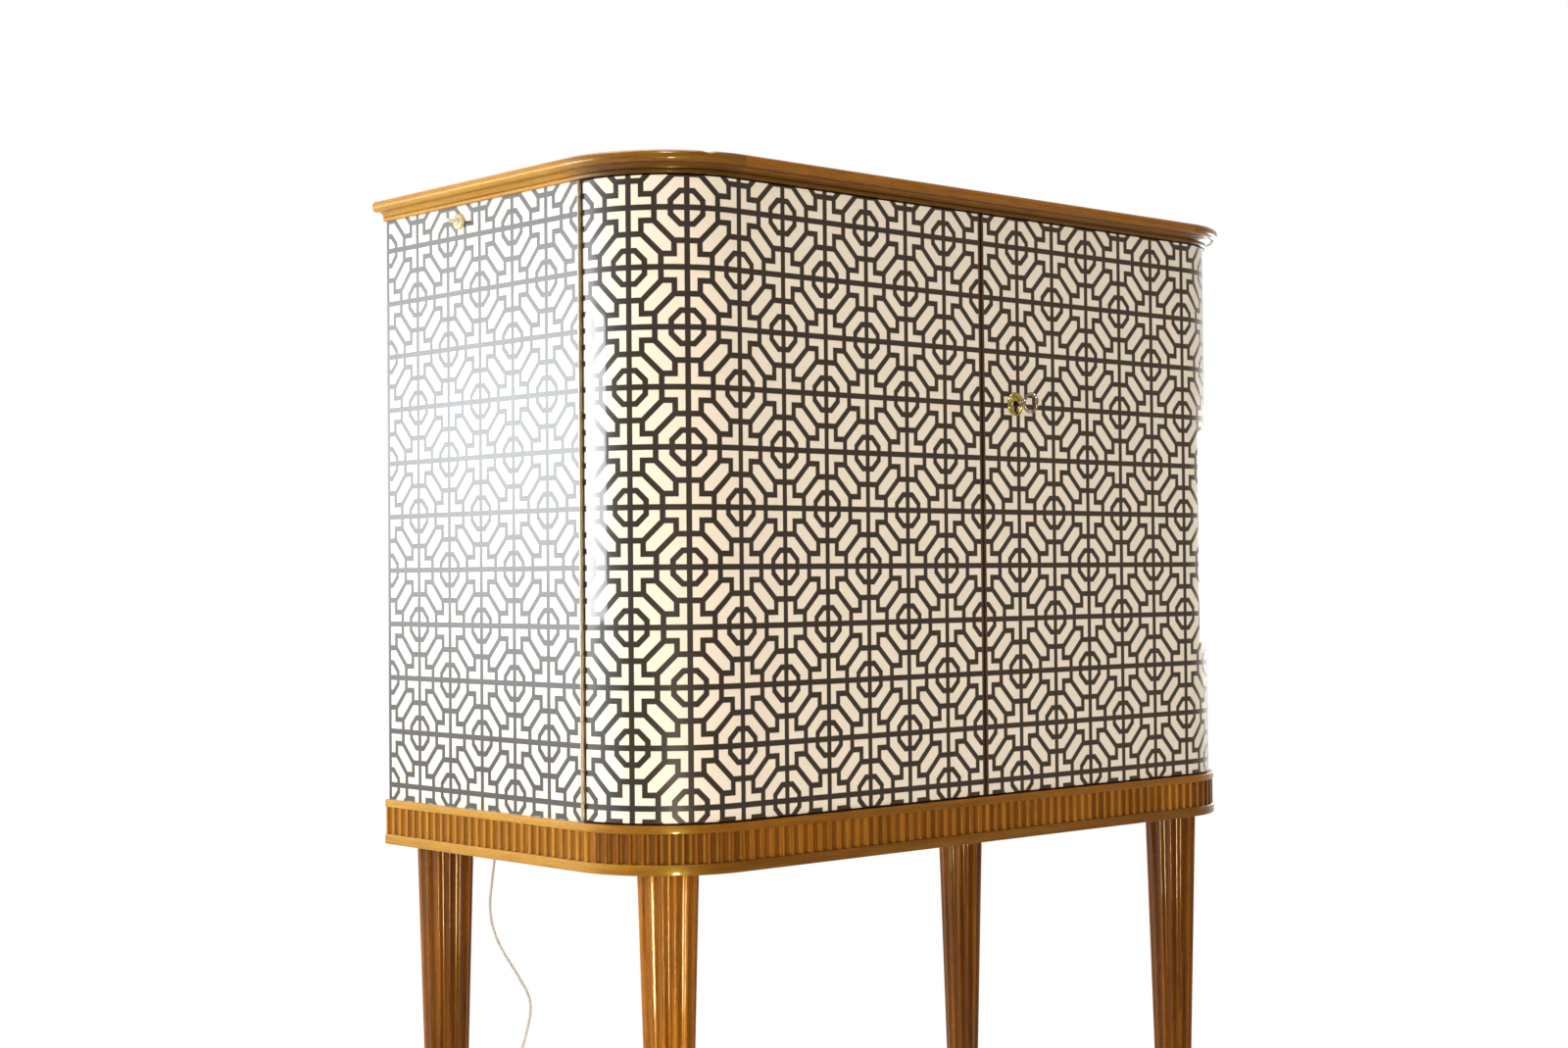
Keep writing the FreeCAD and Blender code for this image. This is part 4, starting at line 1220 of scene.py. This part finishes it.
def make_leg(name, x, y):
    """A tapered leg with hollow flutes between narrow rounded ridges."""
    section = leg_section()
    rings = [(0.0, leg_foot_radius - foot_edge), (foot_edge, leg_foot_radius)]
    rings += [(leg_length * share, leg_foot_radius + (leg_top_radius - leg_foot_radius) * share)
              for share in leg_ring_shares]
    points = []
    hollows = []
    for height, radius in rings:
        scale = radius / leg_top_radius
        for flute in range(leg_flutes):
            for phase, sink in section:
                turn = 2 * math.pi * (flute + phase) / leg_flutes
                reach = radius - sink * scale
                points.append(Vector((x + reach * math.sin(turn), y - reach * math.cos(turn),
                                      height)))
                hollows.append(sink / (leg_ridge_rise + leg_hollow))
    mesh = mesh_from(name, points, tube_faces(len(rings), leg_flutes * len(section)), 60)
    layer = mesh.attributes.new("hollow", "FLOAT", "POINT")
    layer.data.foreach_set("value", hollows)
    return mesh


def make_legs():
    """The four legs."""
    front_x = half_width - front_leg_inset
    rear_x = half_width - rear_leg_inset
    front = front_y + front_leg_setback
    rear = back_y - rear_leg_setback
    places = {
        "front_left_leg": (-front_x, front),
        "front_right_leg": (front_x, front),
        "rear_left_leg": (-rear_x, rear),
        "rear_right_leg": (rear_x, rear),
    }
    for name, (x, y) in places.items():
        mesh = make_leg(name + "_turning", x, y)
        # The front left leg takes the lit tones, the other three the shaded ones: partly wood,
        # partly painted light and shade
        finish = "amber_leg" if name == "front_left_leg" else "umber_legs"
        place_piece(mesh, name + "_turning", finish, "cabinet", "leg_wood", name)


# Hinges, screws, lock and key

def row_tree(finish):
    """Copies of a small part at even steps along a line."""
    tree = Shaping("row_of_" + finish, {
        "Part": "Object", "Start": "Vector", "Step": "Vector", "Count": "Int",
        "Turn": "Vector", "Spin": "Float", "Seed": "Int"})
    line = tree.node("GeometryNodeMeshLine", {"mode": "OFFSET"}, {
        "Count": tree.given("Count"), "Start Location": tree.given("Start"),
        "Offset": tree.given("Step")})
    part = tree.node("GeometryNodeObjectInfo", {"transform_space": "ORIGINAL"},
                     {"Object": tree.given("Part")}, "Geometry")
    spin = tree.node("FunctionNodeRandomValue", {"data_type": "FLOAT"}, {
        2: 0.0, 3: tree.given("Spin"), "Seed": tree.given("Seed")}, 1)
    turn = tree.node("FunctionNodeEulerToRotation", {}, {0: tree.given("Turn")})
    laid = tree.node("GeometryNodeInstanceOnPoints", {}, {
        "Points": line, "Instance": part, "Rotation": turn})
    spun = tree.node("GeometryNodeRotateInstances", {}, {
        "Instances": laid, "Rotation": tree.vector(0.0, 0.0, spin), "Local Space": True})
    tree.send_out(spun, finish)
    return tree


def screw_head():
    """A countersunk screw head with its slot, facing +Z at the origin."""
    profile = [(0.9 * mm, -1.2 * mm), (screw_radius, 0), (screw_radius * 0.93, 0.12 * mm)]
    head = mesh_from("screw", *turned(profile, (0, 0, 0), (0, 0, 1), 20))
    reach = screw_radius * 1.1
    slot = block((-reach, -screw_slot / 2, -0.35 * mm), (reach, screw_slot / 2, 1 * mm),
                 0.02 * mm, 1)
    return bpy.data.objects.new("screw_head", cut(head, mesh_from("slot", *slot)))


def screws(tree, part, name, slot, body, start, step, count, turn, seed):
    """A row of screw heads."""
    mesh = tree.shape({"Part": part, "Start": start, "Step": step, "Count": count,
                       "Turn": turn, "Spin": math.pi, "Seed": seed})
    place_piece(mesh, name, None, body, slot)


def knuckle(length):
    """One barrel of the piano hinge with its bore and eased ends, along +Z."""
    edge = 0.25 * mm
    profile = [(barrel_bore, 0), (barrel_radius - edge, 0), (barrel_radius, edge),
               (barrel_radius, length - edge), (barrel_radius - edge, length),
               (barrel_bore, length)]
    return mesh_from("knuckle", *turned_ring(profile, (0, 0, 0), (0, 0, 1), 20))


def make_hinges(row, screw):
    """Piano hinges: a leaf on the cabinet's side and one on the door, on both sides."""
    part = bpy.data.objects.new("knuckle", knuckle(knuckle_pitch - knuckle_gap))
    for side, word in ((-1, "left"), (1, "right")):
        make_leaf(row, screw, part, side, 1, 0, word + "_hinge_side", "cabinet")
        make_leaf(row, screw, part, side, -1, 1, word + "_hinge_door", word + "_door")


def make_leaf(row, screw, part, side, behind, first, name, body):
    """A row of knuckles from the first or the second one on, their plate and its screws."""
    count = (knuckles + 1 - first) // 2
    start = (side * hinge_x, corner_y, door_bottom + first * knuckle_pitch + knuckle_gap / 2)
    barrels = row.shape({"Part": part, "Start": start, "Step": (0, 0, 2 * knuckle_pitch),
                         "Count": count, "Turn": (0, 0, 0), "Spin": 0.0, "Seed": 1})
    place_piece(barrels, name + "_knuckles", None, body, "hinge_brass")
    mesh = leaf_mesh(name, side, behind, first, count)
    place_piece(mesh, name + "_plate", "dull_brass", body, "hinge_brass", name + "_leaf")
    screw_x = side * (half_width - leaf_width * leaf_screw_share)
    face_y = corner_y + behind * (leaf_clearance + 0.02 * mm)
    screw_step = (door_top - door_bottom) / leaf_screws
    screws(row, screw, name + "_screws", "hinge_brass", body,
           (screw_x, face_y, door_bottom + screw_step / 2), (0, 0, screw_step), leaf_screws,
           (math.radians(90 * behind), 0, 0), 3 + first)


def leaf_mesh(name, side, behind, first, count):
    """A hinge leaf's flat plate with the tongues that run into its knuckles."""
    near = corner_y + behind * leaf_clearance
    far = corner_y + behind * joint_half
    low_y, high_y = min(near, far), max(near, far)
    inner = side * (half_width - leaf_width)
    edge = side * (half_width - 0.05 * mm)
    tip = side * (hinge_x - 1.3 * mm)
    parts = [block((min(inner, edge), low_y, door_bottom), (max(inner, edge), high_y, door_top),
                   0.12 * mm, 1)]
    for index in range(count):
        low = door_bottom + (first + 2 * index) * knuckle_pitch + knuckle_gap / 2
        high = low + knuckle_pitch - knuckle_gap
        parts.append(block((min(edge, tip), low_y, low), (max(edge, tip), high_y, high),
                           0.1 * mm, 1))
    return mesh_from(name, *together(parts))


def make_escutcheon():
    """A brass rose: a dished face with a round rolled rim, pierced by the keyhole."""
    middle = escutcheon_radius - rim_radius
    profile = [(escutcheon_radius - 0.3 * mm, 0.0)]
    profile += arc((middle, rim_radius * 0.35), rim_radius, -10, 190, 20)
    profile += [(middle - rim_radius - 0.5 * mm, dish_height),
                (keyhole_radius + 1.6 * mm, dish_height + 0.2 * mm),
                (keyhole_radius + 0.8 * mm, dish_height + 0.6 * mm),
                (0.4 * mm, dish_height + 0.6 * mm)]
    lock_place = (lock_x, front_y, lock_z)
    mesh = mesh_from("escutcheon_rose", *turned(profile, lock_place, (0, -1, 0), 64), 50)
    mesh = cut(mesh, keyhole_mesh(front_y - 6 * mm, front_y + 2 * mm), 50)
    place_piece(mesh, "escutcheon_rose", "brass", "right_door", "brass_fittings", "escutcheon")
    # A thin dark sheet just behind the keyhole is painted shade: it stands in for the dark inside
    # of the lock
    hole_radius = shank_radius + 0.2 * mm
    around_shank = turned([(hole_radius, -2 * mm), (hole_radius, 2 * mm)], lock_place,
                          (0, -1, 0), 32)
    mesh = cut(keyhole_mesh(front_y + 0.3 * mm, front_y + 0.8 * mm),
               mesh_from("around_shank", *around_shank))
    place_piece(mesh, "keyhole_back", "keyhole_shade", "right_door", "brass_fittings")


def oval_bow(middle_y):
    """Points and faces of the key's bow: an upright oval ring of round wire."""
    ring = arc((bow_half_height, 0), bow_wire, 0, 337.5, 15)
    points, faces = turned_ring(ring, (lock_x, middle_y, lock_z), (1, 0, 0), 56)
    for point in points:
        point.y = middle_y + (point.y - middle_y) * bow_half_length / bow_half_height
    return points, faces


def make_key():
    """A nickel key with an oval bow, collars on its shank and a notched bit."""
    bow_y = front_y - key_reach + bow_half_length + bow_wire
    start = bow_y + bow_half_length - 0.6 * mm
    tip = front_y + 16 * mm
    shank = [(1.6 * mm, 0.0), (2.8 * mm, 0.6 * mm), (3.2 * mm, 1.6 * mm), (3.2 * mm, 2.6 * mm),
             (2.5 * mm, 3.3 * mm), (2.3 * mm, 4.6 * mm), (2.9 * mm, 5.4 * mm),
             (2.9 * mm, 6.2 * mm), (shank_radius, 7.0 * mm),
             (shank_radius, tip - start - 0.6 * mm), (1.8 * mm, tip - start)]
    parts = [oval_bow(bow_y), turned(shank, (lock_x, start, lock_z), (0, 1, 0), 32)]
    bit_y = -192.25 * mm
    half_bit = 0.95 * mm
    steps = [(-2.4 * mm, -0.4 * mm, 9.9 * mm), (0.4 * mm, 2.4 * mm, 9.0 * mm),
             (-2.4 * mm, 2.4 * mm, 5.0 * mm)]
    for near, far, drop in steps:
        parts.append(block((lock_x - half_bit, bit_y + near, lock_z - drop),
                           (lock_x + half_bit, bit_y + far, lock_z - 1 * mm), 0.2 * mm))
    mesh = mesh_from("key_and_bow", *together(parts), 40)
    place_piece(mesh, "key_and_bow", "key_nickel", "key", "nickel", "key")


def make_lock(row, screw):
    """The lock's case and the strike plate, each with its screws."""
    boxed("lock_box", "lock_case", "grey_steel", "right_door", "lock_steel", 0.9 * mm)
    low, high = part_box("lock_case")
    edge = 6 * mm
    across = (high.x - low.x - 2 * edge, 0, 0)
    for word, height in (("lower", low.z + edge), ("upper", high.z - edge)):
        screws(row, screw, "lock_" + word + "_screws", "lock_steel", "right_door",
               (low.x + edge, high.y, height), across, 2, facing_back, 5)
    low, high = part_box("strike_plate")
    edge = 5 * mm
    screws(row, screw, "strike_screws", "brass_fittings", "left_door",
           (high.x, (low.y + high.y) / 2, low.z + edge), (0, 0, high.z - low.z - 2 * edge), 2,
           (0, math.radians(90), 0), 8)


def boxed(name, node, finish, body, slot, edge):
    """A node's box with rounded edges, in place of the node."""
    mesh = mesh_from(name, *block(*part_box(node), edge))
    place_piece(mesh, name, finish, body, slot, node)


def make_bolts():
    """The left door's two sliding bolts: a round rod with a turned thumb knob."""
    for word, way in (("top", 1), ("bottom", -1)):
        node = "left_door_" + word + "_bolt"
        low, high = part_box(node)
        radius = (high.x - low.x) / 2
        x = low.x + radius
        y = low.y + radius
        length = high.z - low.z
        tip = high.z if way > 0 else low.z
        rod = [(radius - 0.8 * mm, 0), (radius, 0.8 * mm), (radius, length - 2 * mm),
               (radius - 0.5 * mm, length - 0.9 * mm), (radius * 0.4, length)]
        parts = [turned(rod, (x, y, tip - way * length), (0, 0, way), 28)]
        reach = high.y - y
        knob = [(1.7 * mm, 0), (1.7 * mm, reach - 6.4 * mm), (1.4 * mm, reach - 5 * mm),
                (2.3 * mm, reach - 3.4 * mm), (2.7 * mm, reach - 2 * mm),
                (2.3 * mm, reach - 0.6 * mm), (1.2 * mm, reach)]
        parts.append(turned(knob, (x, y, tip - way * thumb_from_tip), (0, 1, 0), 28))
        mesh = mesh_from(node + "_turned", *together(parts), 40)
        place_piece(mesh, node + "_turned", "brass", "left_" + word + "_bolt",
                    "brass_fittings", node)


# Shelf, mirror, lamp and wiring

def make_mirror():
    """The mirror, with a ground bevel round its face."""
    low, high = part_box("mirror")
    layers = [(0, high.y), (0, low.y + mirror_bevel_sink), (mirror_bevel, low.y)]
    points = []
    for inset, y in layers:
        points += [Vector((low.x + inset, y, low.z + inset)),
                   Vector((high.x - inset, y, low.z + inset)),
                   Vector((high.x - inset, y, high.z - inset)),
                   Vector((low.x + inset, y, high.z - inset))]
    mesh = mesh_from("bevelled_mirror", points, tube_faces(len(layers), 4), 1)
    place_piece(mesh, "bevelled_mirror", "silvered_glass", "cabinet", "mirror_glass", "mirror")


def make_glass_shelf():
    """The glass shelf with its green polished edges."""
    low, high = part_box("glass_shelf")
    mesh = mesh_from("shelf_pane", *block(low, high, 1.1 * mm, 3))
    give_two_finishes(mesh, "clear_glass", "glass_edge",
                      lambda polygon: abs(polygon.normal.z) < 0.9)
    place_piece(mesh, "shelf_pane", None, "cabinet", "shelf_glass", "glass_shelf")


def make_shelf_pins():
    """The four turned pins under the glass shelf."""
    profile = [(2.5 * mm, 0), (2.5 * mm, 8 * mm), (4.2 * mm, 8.1 * mm), (4.2 * mm, 8.8 * mm),
               (2.5 * mm, 9.3 * mm), (2.5 * mm, 15.2 * mm), (1.7 * mm, 16 * mm)]
    low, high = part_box("shelf_pins")
    height = (low.z + high.z) / 2
    parts = []
    for side, x in ((1, low.x), (-1, high.x)):
        for y in (low.y + 2.5 * mm, high.y - 2.5 * mm):
            parts.append(turned(profile, (x, y, height), (side, 0, 0), 24))
    mesh = mesh_from("turned_pins", *together(parts))
    place_piece(mesh, "turned_pins", "brass", "cabinet", "brass_fittings", "shelf_pins")


def make_lamp_holder():
    """The lamp's enamelled holder: a strip under the top with an end on both sides."""
    low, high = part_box("lamp_holder")
    tube_low, tube_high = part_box("lamp_tube")
    parts = [block((low.x, low.y, high.z - 3 * mm), high, 0.8 * mm)]
    for near, far in ((low.x, tube_low.x), (tube_high.x, high.x)):
        parts.append(block((near, low.y + 1 * mm, low.z),
                           (far, high.y - 1 * mm, high.z - 1 * mm), 3 * mm, 3))
    mesh = mesh_from("lamp_bracket", *together(parts))
    place_piece(mesh, "lamp_bracket", "white_enamel", "cabinet", "lamp_enamel", "lamp_holder")


def make_lamp_tube():
    """The lamp's opal tube with its metal caps."""
    low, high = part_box("lamp_tube")
    radius = (high.y - low.y) / 2
    length = high.x - low.x
    cap = lamp_cap_length
    profile = [(radius - 0.6 * mm, 0), (radius, 0.6 * mm), (radius, cap - 0.3 * mm),
               (radius - 0.5 * mm, cap), (radius - 0.5 * mm, length - cap),
               (radius, length - cap + 0.3 * mm), (radius, length - 0.6 * mm),
               (radius - 0.6 * mm, length)]
    middle = (low + high) / 2
    mesh = mesh_from("capped_tube", *turned(profile, (low.x, middle.y, middle.z), (1, 0, 0), 36))
    glass_end = length / 2 - cap + 0.1 * mm
    give_two_finishes(mesh, "opal_glass", "grey_steel",
                      lambda polygon: abs(polygon.center.x - middle.x) > glass_end)
    place_piece(mesh, "capped_tube", None, "cabinet", "lamp_glass", "lamp_tube")


def make_wiring():
    """The lamp's lead: under the top to the switch, then down the back to the gland."""
    left = lead_left_x
    front = lead_front_y
    turn = lead_turn
    to_switch = [(lead_lamp_end, front, lead_z), (left + turn, front, lead_z),
                 (left, front, lead_z), (left, front + turn, lead_z),
                 (left, switch_y - 10 * mm, lead_z)]
    to_gland = [(left, switch_y + 10 * mm, lead_z), (left, gland_y - turn, lead_z),
                (left, gland_y, lead_z), (left + turn, gland_y, lead_z),
                (gland_x - turn, gland_y, lead_z), (gland_x, gland_y, lead_z),
                (gland_x, gland_y, lead_z - turn), (gland_x, gland_y, lead_foot)]
    curve = round_wire("lamp_lead", [to_switch, to_gland], lead_radius, 12)
    place_piece(curve, "lamp_lead", "cord_skin", "cabinet", "cord_plastic", "lamp_wiring")


def make_back_screws(row, screw):
    """Screws round the edge of the back panel."""
    low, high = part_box("back_panel")
    edge = 9 * mm
    width = high.x - low.x - 2 * edge
    tall = high.z - low.z - 2 * edge
    for word, x in (("left", low.x + edge), ("right", high.x - edge)):
        screws(row, screw, "back_" + word + "_screws", "brass_fittings", "cabinet",
               (x, high.y, low.z + edge), (0, 0, tall / (back_screws - 1)), back_screws,
               facing_back, 11)
    step = width / (back_screws + 1)
    for word, z in (("lower", low.z + edge), ("upper", high.z - edge)):
        screws(row, screw, "back_" + word + "_screws", "brass_fittings", "cabinet",
               (low.x + edge + step, high.y, z), (step, 0, 0), back_screws, facing_back, 12)


# Lamp switch

def make_switch():
    """An ivory rotary switch: a stepped collar and a winged knob."""
    middle = Vector((-half_width, switch_y, switch_z))
    radius = collar_radius
    profile = [(radius, 0.0), (radius, 0.7 * mm), (radius - 0.3 * mm, 0.9 * mm),
               (radius - 0.3 * mm, collar_length - 1.1 * mm),
               (radius - 0.7 * mm, collar_length - 0.4 * mm),
               (radius - 1.5 * mm, collar_length), (4.2 * mm, collar_length),
               (3.4 * mm, collar_length - 0.8 * mm), (0.4 * mm, collar_length - 0.8 * mm)]
    mesh = mesh_from("switch_rose", *turned(profile, middle, (-1, 0, 0), 56), 40)
    place_piece(mesh, "switch_rose", "aged_ivory", "cabinet", "ivory_plastic", "switch_collar")
    make_knob(middle)


def make_knob(middle):
    """The knob: a waisted hub with a rounded wing across it."""
    hub_start = collar_length + 0.3 * mm
    hub = [(3.0 * mm, -14 * mm), (3.0 * mm, hub_start), (3.6 * mm, hub_start),
           (3.6 * mm, hub_start + 1.2 * mm), (3.0 * mm, hub_start + 2.0 * mm),
           (2.2 * mm, hub_start + 2.6 * mm)]
    parts = [turned(hub, middle, (-1, 0, 0), 40)]
    half_length = 5 * mm
    rows = [(hub_start, 2.6 * mm, 1.6 * mm), (hub_start + 3 * mm, 3.0 * mm, 1.5 * mm),
            (hub_start + 7 * mm, half_length, 1.6 * mm),
            (hub_start + 11 * mm, half_length, 1.8 * mm), (switch_reach, 4.2 * mm, 1.3 * mm)]
    around = 24
    wing = []
    for along, half_y, half_z in rows:
        for index in range(around):
            angle = 2 * math.pi * index / around
            y = half_y * math.copysign(abs(math.cos(angle)) ** 0.6, math.cos(angle))
            z = half_z * math.copysign(abs(math.sin(angle)) ** 0.8, math.sin(angle))
            wing.append(middle + Vector((-along, y, z)))
    parts.append((wing, tube_faces(len(rows), around)))
    mesh = mesh_from("switch_wing", *together(parts), 50)
    place_piece(mesh, "switch_wing", "ivory", "switch_knob", "ivory_plastic", "switch_knob")


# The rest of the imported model

def dress_nodes():
    """Give each node that stays as it is its own finish."""
    dress = {
        "top_leaf": ["top_board"],
        "base_pine_x": ["base_rail_front", "base_rail_back", "rear_leg_blocks"],
        "base_pine_y": ["base_side_rails", "base_corner_blocks"],
        "inside_upright": ["left_side", "right_side", "left_door_core", "right_door_core"],
        "inside_level": ["floor_board", "middle_shelf"],
        "plywood": ["back_panel"],
        "lipping": ["left_door_lipping", "right_door_lipping"],
        "brass": ["strike_plate", "lock_bolt"],
        "dull_brass": ["hinge_pins"],
        "ivory": ["switch_body"],
    }
    for finish, nodes in dress.items():
        for name in nodes:
            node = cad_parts[name]
            if not node.material_slots:
                node.data.materials.append(None)
            for material_slot in node.material_slots:
                material_slot.material = finishes[finish]


# Room and light

def card(name, middle, size, aim, strength, tint, in_gloss=True, in_colour=True):
    """A soft rectangular lamp that faces a point; it may show in gloss, light colours or both."""
    data = bpy.data.lights.new(name, "AREA")
    data.shape = "RECTANGLE"
    data.size, data.size_y = size
    area = size[0] * size[1]
    data.energy = strength * math.pi * area
    data.color = tint
    lamp = show(name, data)
    lamp.visible_camera = False
    lamp.visible_glossy = in_gloss
    lamp.visible_diffuse = in_colour
    lamp.matrix_world = facing(middle, aim)


def facing(middle, aim):
    """The place of a card whose face looks from its middle to a point."""
    way = Vector(middle) - Vector(aim)
    turn = way.to_track_quat("Z", "Y").to_matrix().to_4x4()
    return Matrix.Translation(middle) @ turn


def ray_share(tree, *kinds):
    """1 for the named kinds of ray, 0 for all others."""
    path = tree.node("ShaderNodeLightPath").socket.node
    share = Signal(tree, path.outputs[kinds[0]])
    for kind in kinds[1:]:
        share = tree.math("MAXIMUM", share, Signal(tree, path.outputs[kind]))
    return share


def room_colour(tree, backwards, near, far):
    """The light of the surround in a reflection: a dim warm room that whitens to the back."""
    return tree.blend(tree.between(backwards, near, far), rgba(*room_tint), rgba(1, 1, 1))


def flat_sheet(name, half_x, half_y):
    """A flat rectangle round the origin, shown in the scene."""
    corners = [Vector((x * half_x, y * half_y, 0)) for x, y in ((-1, -1), (1, -1), (1, 1), (-1, 1))]
    return show(name, mesh_from(name, corners, [range(4)]))


def make_floor():
    """A pale floor that keeps the cabinet's shadow and goes over into the white surround."""
    floor = flat_sheet("floor", floor_reach, floor_reach)
    finish = Finish("pale_floor", Roughness=0.6)
    place = finish.object_place()
    grain = finish.noise(place, 3, 3.0)
    finish.give("Base Color", finish.blend(grain, rgba(0.86, 0.85, 0.83), rgba(0.9, 0.89, 0.88)))
    away = finish.node("ShaderNodeVectorMath", {"operation": "LENGTH"}, {0: place}, 1)
    white_share = finish.between(away, *shadow_reaches, least_white_share, 1.0)
    glossy = ray_share(finish, "Is Glossy Ray")
    direct = ray_share(finish, "Is Camera Ray", "Is Transmission Ray")
    room = room_colour(finish, finish.parts(place)[1], *floor_whitening)
    glow = finish.blend(glossy, rgba(1, 1, 1), room)
    light = finish.node("ShaderNodeEmission", {}, {"Color": glow, "Strength": 1.0})
    plain = Signal(finish, finish.shader.outputs[0])
    glow_share = finish.math("MAXIMUM", glossy, direct * white_share)
    mixed = finish.node("ShaderNodeMixShader", {}, {0: glow_share, 1: plain, 2: light})
    finish.feed(finish.tree.nodes["Material Output"].inputs["Surface"], mixed)
    floor.data.materials.append(finish.material)


def make_surround():
    """A white surround behind, and a dimmer, warmer room towards the front."""
    bpy.context.scene.view_settings.view_transform = "Standard"
    world = bpy.data.worlds.new("surround")
    bpy.context.scene.world = world
    world.use_nodes = True
    tree = Tree(world.node_tree)
    background = world.node_tree.nodes["Background"]
    way = tree.node("ShaderNodeTexCoord", output="Generated")
    reflected = room_colour(tree, tree.parts(way)[1], *surround_whitening)
    glossy = ray_share(tree, "Is Glossy Ray")
    plain = ray_share(tree, "Is Camera Ray", "Is Transmission Ray")
    lit = tree.blend(plain, rgba(*surround_light), rgba(1, 1, 1))
    tree.feed(background.inputs["Color"], tree.blend(glossy, lit, reflected))
    background.inputs["Strength"].default_value = 1


def make_haze():
    """A tall soft card whose glow fades to its edges, for the sheen on the left side."""
    half_x, half_y = haze_size[0] / 2, haze_size[1] / 2
    sheet = flat_sheet("haze", half_x, half_y)
    sheet.matrix_world = facing(haze_middle, haze_aim)
    finish = Finish("haze", Specular_IOR_Level=0.0, Emission_Strength=haze_level)
    finish.give("Base Color", rgba(0, 0, 0))
    across, down, _ = finish.parts(finish.object_place())
    up_share = finish.between(abs(down), half_y, 0.0)
    side_share = finish.between(abs(across), half_x, half_x * haze_flat_share)
    low = 1 / haze_level
    finish.give("Emission Color", finish.blend(up_share * side_share, rgba(low, low, low),
                                               rgba(0.9, 0.96, 1.0)))
    sheet.data.materials.append(finish.material)
    sheet.visible_camera = False


def make_light():
    """Window light from the back left, a broad light from the front and weak fills around.

    The gleams are small bright cards that show in gloss alone.
    """
    card("window", (-2.9, 1.6, 1.02), (1.86, 0.7), (-0.455, -0.08, 0.85), 9.0, (0.93, 0.97, 1.0))
    card("front_light", (-3.4, -3.0, 2.4), (3.0, 1.8), (0, 0, 0.75), 3.6, (1.0, 0.985, 0.965),
         in_gloss=False)
    card("left_light", (-4.2, 1.0, 1.6), (2.5, 1.8), (-0.4, 0, 0.8), 2.6, (1.0, 1.0, 1.0),
         in_gloss=False)
    card("low_front", (-1.5, -1.6, 0.1), (1.2, 1.0), (-0.2, -0.2, 0.7), 5.9, (1.0, 0.96, 0.90),
         in_gloss=False)
    card("right_light", (3.2, -3.4, 1.3), (2.4, 1.8), (0, 0, 0.8), 1.7, (0.74, 0.90, 1.13),
         in_gloss=False)
    card("leg_gleam", (-1.2, -1.4, 0.11), (0.18, 0.2), (-0.38, -0.14, 0.4), 130.0,
         (1.0, 0.88, 0.64), in_colour=False)
    card("edge_gleam", (-1.6, -1.7, 3.0), (0.4, 0.5), (-0.4, -0.15, 1.16), 44.0,
         (1.0, 0.98, 0.94), in_colour=False)
    card("right_gleam", (2.62, 0.31, 0.845), (1.8, 0.46), (0.47, -0.15, 0.9), 9.0,
         (1.0, 0.98, 0.94), in_colour=False)
    card("rear_fill", (3.4, 2.6, 1.4), (2.4, 1.8), (0, 0, 0.7), 6.0, (1.0, 1.0, 1.0),
         in_gloss=False)
    card("overhead", (-0.3, 0.3, 3.6), (2.4, 2.4), (0, 0, 1.1), 5.0, (1.0, 0.96, 0.88))


place_camera()
make_cord(make_plug())
make_gland()
make_skins()
make_mouldings()
make_frieze()
make_legs()
screw = screw_head()
brass_row = row_tree("dull_brass")
steel_row = row_tree("grey_steel")
make_hinges(brass_row, screw)
make_lock(steel_row, screw)
make_escutcheon()
make_key()
make_bolts()
make_mirror()
make_glass_shelf()
make_shelf_pins()
make_lamp_holder()
make_lamp_tube()
make_wiring()
boxed("door_stop_block", "door_stop", "inside_level", "cabinet", "inside_wood", 1.5 * mm)
make_back_screws(brass_row, screw)
make_switch()
dress_nodes()
make_floor()
make_surround()
make_haze()
make_light()
